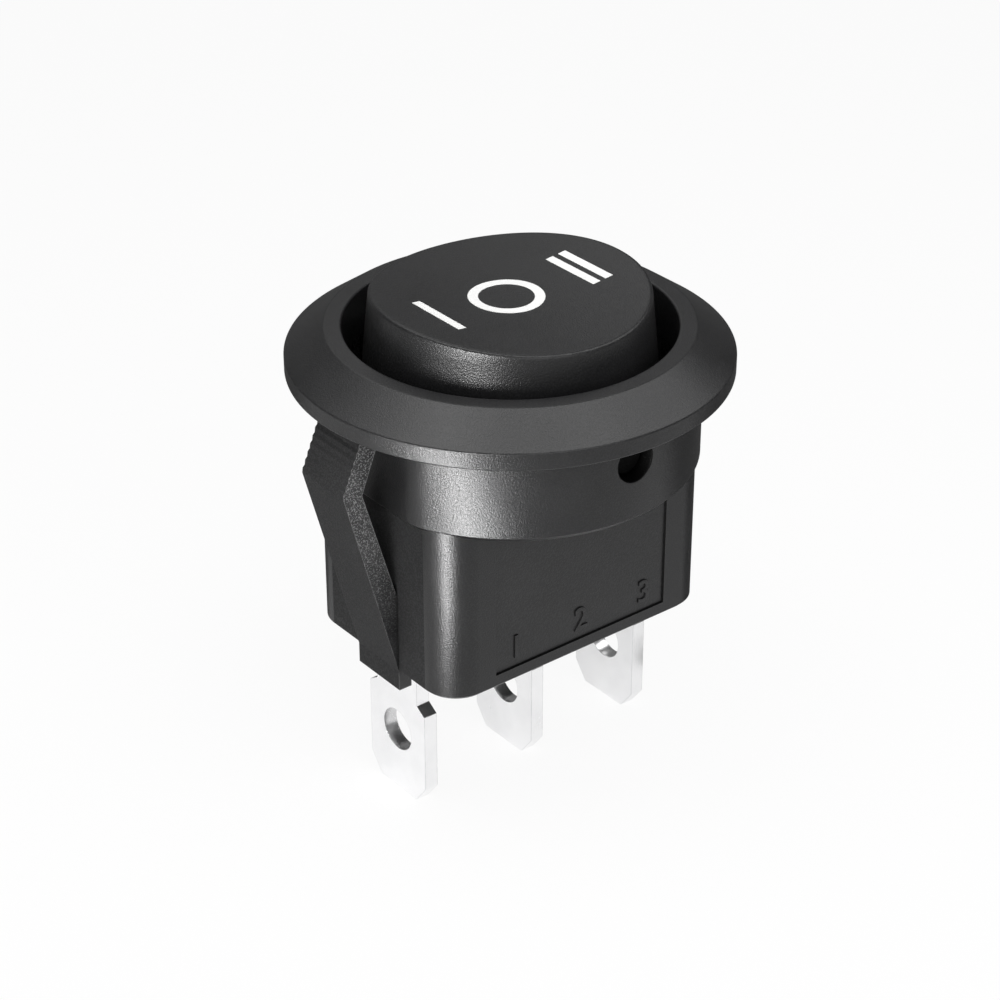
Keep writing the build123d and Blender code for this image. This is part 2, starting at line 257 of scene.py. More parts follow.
def prism(outline: Sequence[Point2], holes: Sequence[Sequence[Point2]], low: float, high: float,
          plane: str, ease: float, segments: int = 2, grip: float = 0.0) -> BMesh:
    """Plate or bar of one outline, with eased edges.

    Args:
        outline: The outline, as points in the plane.
        holes: Outlines of its holes.
        low: Where it starts, along the plane's normal.
        high: Where it ends.
        plane: Letters of the plane, XZ, YZ or XY.
        ease: Width of the rounding along its sharp edges.
        segments: Divisions of that rounding.
        grip: Width of a strip round both ends' faces that keeps them flat in smooth shading.

    Returns:
        A new mesh.
    """
    put: dict[str, Callable[[float, float, float], Sequence[float]]] = {
        "XZ": lambda u, v, w: (u, w, v),
        "YZ": lambda u, v, w: (w, u, v),
        "XY": lambda u, v, w: (u, v, w),
    }
    bm = bmesh.new()
    for height in (low, high):
        edges = []
        for loop in (outline, *holes):
            edges += edges_round(bm, ring_of(bm, [put[plane](u, v, height) for u, v in loop]))
        bmesh.ops.triangle_fill(bm, edges=edges, use_beauty=True)
    bm.verts.ensure_lookup_table()
    half = len(bm.verts) // 2
    start = 0
    for loop in (outline, *holes):
        count = len(loop)
        a = [bm.verts[start + i] for i in range(count)]
        b = [bm.verts[half + start + i] for i in range(count)]
        quads_between(bm, a, b)
        start += count
    bmesh.ops.recalc_face_normals(bm, faces=bm.faces)
    if ease > 0:
        sharp = [e for e in bm.edges
                 if len(e.link_faces) == 2 and e.calc_face_angle(0) > SHARP_BEND]
        bmesh.ops.bevel(bm, geom=sharp, offset=ease, segments=segments, profile=0.5,
                        affect="EDGES", clamp_overlap=True)
    if grip > 0:
        bm.normal_update()
        across = Vector(put[plane](0, 0, 1))
        ends = [face for face in bm.faces if abs(face.normal.dot(across)) > SAME_WAY]
        bmesh.ops.inset_region(bm, faces=ends, thickness=grip, use_even_offset=True)
    return bm


def joined(parts: Sequence[BMesh]) -> BMesh:
    """Puts several meshes into the first one and frees the others."""
    first = parts[0]
    for part in parts[1:]:
        made = {vert: first.verts.new(vert.co) for vert in part.verts}
        for face in part.faces:
            first.faces.new([made[vert] for vert in face.verts])
        part.free()
    return first


def mesh_of(name: str, bm: BMesh) -> Mesh:
    """Turns a mesh in millimetres into one of the scene's, in metres, and frees it."""
    bmesh.ops.scale(bm, vec=(MM, MM, MM), verts=bm.verts)
    mesh = bpy.data.meshes.new(name)
    bm.to_mesh(mesh)
    bm.free()
    return mesh


def placed(name: str, data: ID) -> Object:
    """Makes an object of its data and puts it into the scene."""
    made = bpy.data.objects.new(name, data)
    bpy.context.scene.collection.objects.link(made)
    return made


# Wiring of node trees, and the effects that are shared as node groups


@dataclass(frozen=True)
class Wiring:
    """A node tree that nodes are being added to."""

    tree: NodeTree

    def feed(self, node: Node, feeds: Feeds) -> None:
        """Gives inputs of a node, by name or number, a socket or a fixed value."""
        for name, value in feeds.items():
            if isinstance(value, NodeSocket):
                self.tree.links.new(value, node.inputs[name])
            else:
                node.inputs[name].default_value = value

    def node(self, kind: str, feeds: Optional[Feeds] = None, **settings: object) -> Node:
        """Adds a node.

        Args:
            kind: Blender's name of its kind, without the first word.
            feeds: What its inputs get.
            settings: Its own settings.

        Returns:
            The node.
        """
        made = self.tree.nodes.new(f"ShaderNode{kind}")
        for name, value in settings.items():
            setattr(made, name, value)
        self.feed(made, feeds or {})
        return made

    def asked(self, name: str, value: float) -> NodeSocket:
        """A number that the users of the group give it."""
        made = self.tree.interface.new_socket(name, in_out="INPUT", socket_type="NodeSocketFloat")
        made.default_value = value
        return self.tree.nodes.new("NodeGroupInput").outputs[name]

    def maths(self, operation: str, a: Feed, b: Feed, clamp: bool = False) -> NodeSocket:
        """One sum, held between 0 and 1 with "clamp"."""
        return self.node("Math", {0: a, 1: b}, operation=operation, use_clamp=clamp).outputs[0]

    def times(self, a: Feed, b: Feed, clamp: bool = False) -> NodeSocket:
        """Product of two numbers."""
        return self.maths("MULTIPLY", a, b, clamp)

    def spread(self, value: NodeSocket, low: float, high: float, to_low: float = 0.0,
               to_high: float = 1.0) -> NodeSocket:
        """Maps a value softly from one range to another, held inside it."""
        feeds = {"Value": value, "From Min": low, "From Max": high, "To Min": to_low,
                 "To Max": to_high}
        return self.node("MapRange", feeds, interpolation_type="SMOOTHSTEP").outputs["Result"]

    def noise(self, per_mm: float, detail: float, stretch: Point3 = (1, 1, 1),
              roughness: float = 0.5) -> NodeSocket:
        """Noise fixed to the piece, from 0 to 1.

        Args:
            per_mm: Waves in a millimetre.
            detail: Octaves of finer noise.
            stretch: Factors of the three axes.
            roughness: Strength of the finer octaves.

        Returns:
            The noise's socket.
        """
        place = self.node("TexCoord").outputs["Object"]
        scale = self.node("Mapping", {"Vector": place, "Scale": [per_mm / MM * s for s in stretch]})
        return self.node("TexNoise", {"Vector": scale.outputs["Vector"], "Scale": 1.0,
                                      "Detail": detail, "Roughness": roughness}).outputs["Fac"]

    def blended(self, share: NodeSocket, a: Feed, b: Feed) -> NodeSocket:
        """Mixes two colours, by the share of the second one."""
        a, b = ((*colour, 1.0) if isinstance(colour, tuple) else colour for colour in (a, b))
        return self.node("Mix", {0: share, 6: a, 7: b}, data_type="RGBA").outputs[2]

    def bump(self, height: NodeSocket, strength: float, depth_mm: float) -> NodeSocket:
        """Normal of a fine relief."""
        feeds = {"Strength": strength, "Distance": depth_mm * MM, "Height": height}
        return self.node("Bump", feeds).outputs["Normal"]

    def use(self, effect: Effect, **feeds: float) -> NodeOutputs:
        """Places a shared effect and gives its outputs."""
        return self.node("Group", feeds, node_tree=effect.group()).outputs


@dataclass(frozen=True)
class Effect:
    """A shared effect, which is one node group for all the finishes that use it."""

    name: str

    def group(self) -> NodeTree:
        """The node group, made at its first use."""
        tree = bpy.data.node_groups.get(self.name)
        if tree is None:
            tree = bpy.data.node_groups.new(self.name, "ShaderNodeTree")
            results = self.results(Wiring(tree))
            for name in results:
                tree.interface.new_socket(name, in_out="OUTPUT", socket_type="NodeSocketFloat")
            Wiring(tree).feed(tree.nodes.new("NodeGroupOutput"), results)
        return tree

    def results(self, at: Wiring) -> Results:
        """Wires the new group and gives what it puts out."""
        raise NotImplementedError


@dataclass(frozen=True)
class MouldGrain(Effect):
    """Fine spark-eroded grain of a moulding tool, with the faint clouds of its flow."""

    name: str = "mould_grain"
    pebbles_per_mm: float = 12.0
    specks_per_mm: float = 22.0
    clouds_per_mm: float = 0.22
    pebble_share: float = 0.6
    specks_from: float = 0.42
    specks_to: float = 0.64
    clouds: Point2 = (0.3, 0.7)

    def results(self, at: Wiring) -> Results:
        """Height of the grain, its specks and the clouds."""
        pebbles = at.times(at.noise(self.pebbles_per_mm, 0.5), self.pebble_share)
        specks = at.times(at.noise(self.specks_per_mm, 0.0), 1 - self.pebble_share)
        height = at.maths("ADD", pebbles, specks)
        return {
            "Height": height,
            "Specks": at.spread(height, self.specks_from, self.specks_to),
            "Clouds": at.spread(at.noise(self.clouds_per_mm, 4.0), *self.clouds),
        }


@dataclass(frozen=True)
class EdgeRub(Effect):
    """Edges lighter as wear and a painted highlight, broken up by noise; painted shade in crevices.

    The bends are what the rounded normal differs from the true one by at an edge. The two open
    spans are of the share of open air round a point, on standing edges and in crevices.
    """

    name: str = "edge_wear_sheen_shade"
    reach_mm: float = 0.1
    breaks_per_mm: float = 2.2
    breaks: Span = (0.25, 0.6, 0.45, 1.0)
    bends: Point2 = (0.012, 0.14)
    crevice_mm: float = 0.22
    open_edge: Point2 = (0.80, 0.97)
    open_crevice: Point2 = (0.45, 0.9)

    def results(self, at: Wiring) -> Results:
        """Masks of the edges and of the painted shade in crevices."""
        bevel = at.node("Bevel", {"Radius": at.asked("Reach", self.reach_mm * MM)}, samples=4)
        true = at.node("NewGeometry").outputs["Normal"]
        dot = at.node("VectorMath", {0: bevel.outputs["Normal"], 1: true}, operation="DOT_PRODUCT")
        bend = at.maths("SUBTRACT", 1.0, dot.outputs["Value"])
        air = at.node("AmbientOcclusion", {"Distance": self.crevice_mm * MM}, samples=6).outputs["AO"]
        edge = at.times(at.spread(bend, *self.bends), at.spread(air, *self.open_edge))
        broken = at.spread(at.noise(self.breaks_per_mm, 3.0), *self.breaks)
        return {
            "Mask": at.times(edge, broken, clamp=True),
            "Painted Shade": at.spread(air, *self.open_crevice, 1.0, 0.0),
        }


@dataclass(frozen=True)
class DrawnLines(Effect):
    """Hair lines of rolled or drawn metal that run along one axis."""

    stretch: Point3
    lines_per_mm: float = 9.0
    haze_per_mm: float = 0.5
    haze: Point2 = (0.3, 0.75)

    def results(self, at: Wiring) -> Results:
        """Height of the lines and the haze over them."""
        return {
            "Height": at.noise(self.lines_per_mm, 3.0, self.stretch, roughness=0.7),
            "Haze": at.spread(at.noise(self.haze_per_mm, 3.0), *self.haze),
        }


def started(name: str) -> tuple[Material, Wiring, Node]:
    """A new material with its wiring and its Principled shader."""
    material = bpy.data.materials.new(name)
    material.use_nodes = True
    return material, Wiring(material.node_tree), material.node_tree.nodes["Principled BSDF"]


@dataclass(frozen=True)
class Finish:
    """A surface, which is one material for all the pieces that have it."""

    name: str
    colour: Colour

    def material(self) -> Material:
        """The Blender material, made at its first use."""
        if self.name in bpy.data.materials:
            return bpy.data.materials[self.name]
        material, at, shader = started(self.name)
        at.feed(shader, self.feeds(at))
        return material

    def feeds(self, at: Wiring) -> Feeds:
        """Wires the new material and gives what goes into its shader."""
        raise NotImplementedError


@dataclass(frozen=True)
class MouldedPlastic(Finish):
    """Satin plastic: mould grain, smoother edges of wear and painted highlight, crevices' painted
    shade.
    """

    pale: Colour
    rubbed: Colour
    dirt: Colour
    roughness: float
    grain: float
    speckle: float = 0.3
    edge_reach: float = 0.08
    specular: float = 0.3
    fade: Optional[Point2] = None
    relief: MouldGrain = MouldGrain()
    grain_depth: float = 0.06
    cloud_tone: float = 0.18
    cloud_dip: float = 0.03
    cloud_haze: float = 0.07
    edge_shine: float = 0.08

    def feeds(self, at: Wiring) -> Feeds:
        """Grain, clouds, edges of wear and painted highlight, and painted shade in crevices."""
        grain = at.use(self.relief)
        edge = at.use(EdgeRub(), Reach=self.edge_reach * MM)
        specks = at.times(grain["Specks"], self.speckle)
        # Painted shade: the specks thin out towards the bottom.
        if self.fade:
            specks = at.times(specks, self.higher(at))
        tone = at.maths("ADD", at.times(grain["Clouds"], self.cloud_tone), specks, clamp=True)
        body = at.blended(tone, self.colour, self.pale)
        # Painted shade: the colour is darker in crevices.
        body = at.blended(edge["Painted Shade"], body, self.dirt)
        rough = at.maths("ADD", self.roughness - self.cloud_dip,
                         at.times(grain["Clouds"], self.cloud_haze))
        return {
            # Edges lighter, partly as wear and partly as a painted highlight.
            "Base Color": at.blended(edge["Mask"], body, self.rubbed),
            "Roughness": at.maths("SUBTRACT", rough, at.times(edge["Mask"], self.edge_shine)),
            "Normal": at.bump(grain["Height"], self.grain, self.grain_depth),
            "Specular IOR Level": self.specular,
        }

    def higher(self, at: Wiring) -> NodeSocket:
        """Share that grows from 0 to 1 between the two heights of the painted shade."""
        place = at.node("TexCoord").outputs["Object"]
        height = at.node("SeparateXYZ", {0: place}).outputs["Z"]
        return at.spread(height, self.fade[0] * MM, self.fade[1] * MM)


@dataclass(frozen=True)
class Paint(Finish):
    """Opaque marking paint, slightly uneven where it was wiped into its engraving."""

    shade: Colour
    roughness: float
    shade_share: float = 0.4
    speck_haze: float = 0.1
    relief: float = 0.12
    relief_depth: float = 0.02

    def feeds(self, at: Wiring) -> Feeds:
        """Uneven tone and gloss."""
        grain = at.use(MouldGrain())
        tone = at.times(grain["Clouds"], self.shade_share)
        return {
            "Base Color": at.blended(tone, self.colour, self.shade),
            "Roughness": at.maths("ADD", self.roughness, at.times(grain["Specks"], self.speck_haze)),
            "Normal": at.bump(grain["Height"], self.relief, self.relief_depth),
        }


@dataclass(frozen=True)
class BrightMetal(Finish):
    """Rolled or plated metal with hair lines, haze and an edge colour, lighter where coined and darker
    where it is painted shade.
    """

    haze: Colour
    edge: Colour
    roughness: float
    lines: DrawnLines
    relief: float = 0.12
    relief_depth: float = 0.01
    edge_reach: float = 0.07
    haze_tone: float = 0.5
    haze_rough: float = 0.10
    line_rough: float = 0.08
    edge_shine: float = 0.05

    def feeds(self, at: Wiring) -> Feeds:
        """Lines, haze and edges of their own tone."""
        drawn = at.use(self.lines)
        edge = at.use(EdgeRub(), Reach=self.edge_reach * MM)
        flat = at.blended(at.times(drawn["Haze"], self.haze_tone), self.colour, self.haze)
        rough = at.maths("ADD", self.roughness, at.times(drawn["Haze"], self.haze_rough))
        rough = at.maths("ADD", rough, at.times(drawn["Height"], self.line_rough))
        shine = at.times(edge["Mask"], self.edge_shine)
        return {
            "Base Color": at.blended(edge["Mask"], flat, self.edge),
            "Roughness": at.maths("SUBTRACT", rough, shine, clamp=True),
            "Normal": at.bump(drawn["Height"], self.relief, self.relief_depth),
            "Metallic": 1.0,
        }


ALONG_BLADE = DrawnLines("lines_along_blade", (1.0, 1.0, 0.05))
ALONG_LEVER = DrawnLines("lines_along_lever", (0.05, 1.0, 1.0))
EVEN_LINES = DrawnLines("lines_even", (1.0, 1.0, 1.0), 12.0)

# Each moulded finish: colour, grain tone, edge colour (wear and painted highlight), crevice colour
# (painted shade).
HOUSING_NYLON = MouldedPlastic("black_nylon_housing", (0.012, 0.012, 0.0125),
                               (0.032, 0.032, 0.033), (0.055, 0.055, 0.056),
                               (0.004, 0.004, 0.004), 0.32, 0.26)
# Clip sides: coarser grain whose bright specks are partly grain and partly painted glints; they thin
# out towards the bottom as painted shade.
CLIP_SIDE_NYLON = MouldedPlastic("black_nylon_clip_sides", (0.012, 0.012, 0.0125),
                                 (0.24, 0.24, 0.242), (0.26, 0.26, 0.262),
                                 (0.004, 0.004, 0.004), 0.38, 0.6, 0.9, fade=(-15.0, -3.0),
                                 relief=MouldGrain("clip_grain", 13.0, specks_from=0.5))
# Clip backs and box ends: a duller nylon with a lighter colour, which is painted light.
CLIP_BACK_PAINTED_LIGHT_NYLON = MouldedPlastic("black_nylon_clip_back_painted_light", (0.034, 0.034, 0.0345),
                                 (0.066, 0.066, 0.067), (0.066, 0.066, 0.067),
                                 (0.014, 0.014, 0.014), 0.55, 0.5, 0.5, specular=0.02)
# Near-black painted shade for the step round the sunk panel, the pivot bores and the trunnion ends.
PAINTED_SHADE_NYLON = MouldedPlastic("black_nylon_painted_shade", (0.002, 0.002, 0.002),
                              (0.004, 0.004, 0.004), (0.004, 0.004, 0.004),
                              (0.001, 0.001, 0.001), 0.65, 0.2, specular=0.05)
ROCKER_NYLON = MouldedPlastic("black_nylon_rocker", (0.011, 0.011, 0.0115),
                              (0.028, 0.028, 0.029), (0.05, 0.05, 0.051),
                              (0.004, 0.004, 0.004), 0.31, 0.30)
MARK_WHITE = Paint("mark_white", (0.88, 0.88, 0.87), (0.80, 0.80, 0.79), 0.42)
PLUNGER_ACETAL = MouldedPlastic("natural_acetal", (0.70, 0.68, 0.62), (0.80, 0.78, 0.73),
                                (0.84, 0.82, 0.77), (0.52, 0.50, 0.45), 0.36, 0.08)
# The nickel plate's edges are darker: painted shade along them.
BLADE_NICKEL = BrightMetal("nickel_plate", (0.95, 0.95, 0.955), (0.84, 0.84, 0.85),
                           (0.52, 0.52, 0.53), 0.13, ALONG_BLADE)
# Wire hole walls: darker than the plate, as painted shade.
PUNCHED_BORE_SHADE = BrightMetal("punched_bore_shade", (0.78, 0.78, 0.785), (0.50, 0.50, 0.505),
                           (0.60, 0.60, 0.61), 0.16, EVEN_LINES)
LEVER_BRASS = BrightMetal("lever_brass", (0.80, 0.62, 0.32), (0.66, 0.48, 0.24),
                          (0.86, 0.70, 0.42), 0.24, ALONG_LEVER)
CONTACT_SILVER = BrightMetal("contact_silver", (0.92, 0.91, 0.88), (0.74, 0.72, 0.68),
                             (0.94, 0.93, 0.91), 0.22, EVEN_LINES)
SPRING_WIRE = BrightMetal("spring_wire", (0.60, 0.60, 0.61), (0.42, 0.42, 0.43),
                          (0.66, 0.66, 0.67), 0.24, EVEN_LINES)


@dataclass
class Bench:
    """Turns finished meshes into pieces of the switch."""

    smooth_angle: float = 40.0

    def piece(self, name: str, bm: BMesh, finish: Finish, body: Body, slot: str,
              replaces: Sequence[str], weighted: bool = True,
              others: Sequence[tuple[Finish, FaceTest]] = ()) -> None:
        """Makes a Blender object from a mesh in millimetres.

        Args:
            name: The piece's name.
            bm: Its mesh, which is freed.
            finish: Its finish.
            body: The body that it rides on.
            slot: The record's material slot; not used.
            replaces: Nodes of the frame that it stands for.
            weighted: Whether large faces rule the shading at their edges.
            others: More finishes, each with the test of the faces that have it.
        """
        bmesh.ops.remove_doubles(bm, verts=bm.verts, dist=1e-5)
        bmesh.ops.dissolve_degenerate(bm, edges=bm.edges, dist=1e-6)
        bmesh.ops.recalc_face_normals(bm, faces=bm.faces)
        bm.normal_update()
        for face in bm.faces:
            face.smooth = True
            fits = (i + 1 for i, (_, test) in enumerate(others) if test(face))
            face.material_index = next(fits, 0)
        mesh = mesh_of(name, bm)
        mesh.set_sharp_from_angle(angle=math.radians(self.smooth_angle))
        mesh.materials.append(finish.material())
        for other, _ in others:
            mesh.materials.append(other.material())
        made = placed(name, mesh)
        if weighted:
            modifier = made.modifiers.new("flat_faces_rule", "WEIGHTED_NORMAL")
            modifier.keep_sharp = True
            modifier.weight = 90
        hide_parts(*replaces)
        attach(made, body.value)
        LOG.info("%s: %d faces", name, len(mesh.polygons))

    def dress(self, frame: dict, node: str, finish: Finish) -> None:
        """Gives a node of the frame a finish."""
        mesh = frame["nodes"][node].data
        mesh.materials.clear()
        mesh.materials.append(finish.material())
        LOG.info("%s: dressed in %s", node, finish.name)


@dataclass
class Bezel:
    """Flange, land, collar and rocker well: the turned part of the housing's moulding."""

    flange_radius: float = 11.5
    flange_side: float = 0.92
    flange_height: float = 2.33
    land_radius: float = 9.47
    well_radius: float = 8.54
    collar_radius: float = 9.85
    collar_flat: float = 9.1
    flat_ease: float = 3.0
    collar_depth: float = 5.0
    collar_chamfer: float = 0.3
    ledge_top: float = -4.2
    cavity: tuple[float, float, float] = (15.5, 10.1, 1.65)
    pivot_drop: float = 1.59
    pivot_radius: float = 1.07
    mouth: float = 0.07
    columns: int = 384
    patch: int = 9
    patch_rows: tuple[float, ...] = (-0.16, -0.51, -0.87, -1.23, -1.59, -1.95, -2.31, -2.67, -3.02)

    def rings(self) -> list[tuple[float, float, Wall]]:
        """Radius, height and kind of each ring, up the well, over the flange and down the collar."""
        inner = eased_outline(
            [
                (self.well_radius, self.ledge_top, 0),
                (self.well_radius, self.flange_height, 0.12),
                (self.land_radius, self.flange_height, 0.16),
                (self.flange_radius, self.flange_side, 0.13),
                (self.flange_radius, 0, 0.10),
                (self.collar_radius, 0, 0),
            ],
            5,
            closed=False,
        )
        rings = [(r, z, Wall.ROUND) for r, z in held(inner)]
        first = rings.pop(0)
        rings = [first, *[(self.well_radius, z, Wall.ROUND) for z in reversed(self.patch_rows)], *rings]
        tip = self.collar_chamfer
        rings.append((self.collar_radius, -0.001, Wall.FLATTED))
        rings.append((self.collar_radius, -0.03, Wall.FLATTED))
        rings += [(self.collar_radius, z, Wall.FLATTED) for z in self.patch_rows]
        outer = eased_outline(
            [
                (self.collar_radius, self.patch_rows[-1], 0),
                (self.collar_radius, -self.collar_depth + tip, 0.06),
                (self.collar_radius - tip, -self.collar_depth, 0.06),
                (self.well_radius, -self.collar_depth, 0),
            ],
            3,
            closed=False,
        )
        rings += [(r, z, Wall.FLATTED) for r, z in held(outer)[1:]]
        rings.append((0, -self.collar_depth, Wall.CAVITY))
        rings.append((0, self.ledge_top, Wall.CAVITY))
        return rings

    def point(self, radius: float, height: float, wall: Wall, angle: float) -> Vector:
        """Where a ring's point lies at an angle.

        Args:
            radius: The ring's radius.
            height: Its height.
            wall: Its kind.
            angle: The angle in radians.

        Returns:
            The point.
        """
        x, y = polar(1, angle)
        if wall is Wall.CAVITY:
            length, width, corner = self.cavity
            reach = min(length / 2 / max(abs(x), 1e-9), width / 2 / max(abs(y), 1e-9))
            u, v = abs(x) * reach, abs(y) * reach
            cu, cv = length / 2 - corner, width / 2 - corner
            if u > cu and v > cv:
                reach = past_arc(abs(x), abs(y), (cu, cv), corner)
            return Vector((x * reach, y * reach, height))
        reach = radius
        if wall is Wall.FLATTED:
            flat = self.collar_flat - (self.collar_radius - radius)
            cu = flat - self.flat_ease
            cv = math.sqrt((radius - self.flat_ease) ** 2 - cu**2)
            slope = abs(y) / max(abs(x), 1e-9)
            if slope < cv / flat:
                reach = flat / abs(x)
            elif slope < cv / cu:
                reach = past_arc(abs(x), abs(y), (cu, cv), self.flat_ease)
        return Vector((x * reach, y * reach, height))

    def build(self) -> BMesh:
        """The turned mesh with its two pivot holes."""
        bm = bmesh.new()
        rings = self.rings()
        angles = [math.tau * i / self.columns for i in range(self.columns)]
        grid = [ring_of(bm, [self.point(*ring, angle) for angle in angles]) for ring in rings]
        walls = []
        for radius in (self.well_radius, self.collar_radius):
            rows = [j for j, ring in enumerate(rings)
                    if abs(ring[0] - radius) < 1e-6 and ring[1] in self.patch_rows]
            walls.append((radius, rows))
        middles = (self.columns // 4, 3 * self.columns // 4)
        open_cells = {
            (j, i % self.columns)
            for _, rows in walls
            for j in range(min(rows), max(rows))
            for middle in middles
            for i in range(middle - self.patch, middle + self.patch)
        }
        count = len(grid)
        for j in range(count):
            for i in range(self.columns):
                if (j, i) in open_cells:
                    continue
                k = (i + 1) % self.columns
                m = (j + 1) % count
                bm.faces.new((grid[j][i], grid[j][k], grid[m][k], grid[m][i]))
        for middle in middles:
            mouths = [self.hole(bm, grid, radius, rows, middle) for radius, rows in walls]
            quads_between(bm, mouths[0], mouths[1])
        return bm

    def hole(self, bm: BMesh, grid: list, radius: float, rows: list[int],
             middle: int) -> list:
        """Closes the gap left in one wall down to a round hole with an eased mouth.

        Args:
            bm: The mesh.
            grid: Its vertices by ring and column.
            radius: The wall's radius.
            rows: The rings that the gap spans.
            middle: The column at the gap's middle.

        Returns:
            The loop of the bore just inside the wall.
        """
        low, high = middle - self.patch, middle + self.patch
        top, bottom = (rows[0], rows[-1]) if rings_fall(grid, rows) else (rows[-1], rows[0])
        step = 1 if bottom > top else -1
        loop = [grid[top][i] for i in range(low, high)]
        loop += [grid[j][high] for j in range(top, bottom, step)]
        loop += [grid[bottom][i] for i in range(high, low, -1)]
        loop += [grid[j][low] for j in range(bottom, top, -step)]
        side = 1 if loop[0].co.y > 0 else -1
        sink = self.mouth if radius > (self.well_radius + self.collar_radius) / 2 else -self.mouth
        centre = Vector((0, -self.pivot_drop))
        last = loop
        # How far from the gap's edge to the lip, and how far round the lip's own quarter turn
        stages = [(0.45, None), (0.85, None), (1.0, 0.0), (1.0, 0.3), (1.0, 0.7), (1.0, 1.0)]
        for share, ease in stages:
            ring = []
            for vert in loop:
                out = Vector((vert.co.x, vert.co.z)) - centre
                angle = math.atan2(out.y, out.x)
                lip = self.pivot_radius + self.mouth * (1 - math.sin((ease or 0) * math.pi / 2))
                goal = centre + Vector(polar(lip, angle))
                here = Vector((vert.co.x, vert.co.z)).lerp(goal, share)
                depth = math.sqrt(radius**2 - here.x**2)
                if ease is not None:
                    depth -= sink * (1 - math.cos(ease * math.pi / 2))
                ring.append(bm.verts.new((here.x, side * depth, here.y)))
            quads_between(bm, last, ring)
            last = ring
        return last


def rings_fall(grid: list, rows: list[int]) -> bool:
    """Whether the rings go downwards in their order."""
    return grid[rows[0]][0].co.z > grid[rows[-1]][0].co.z


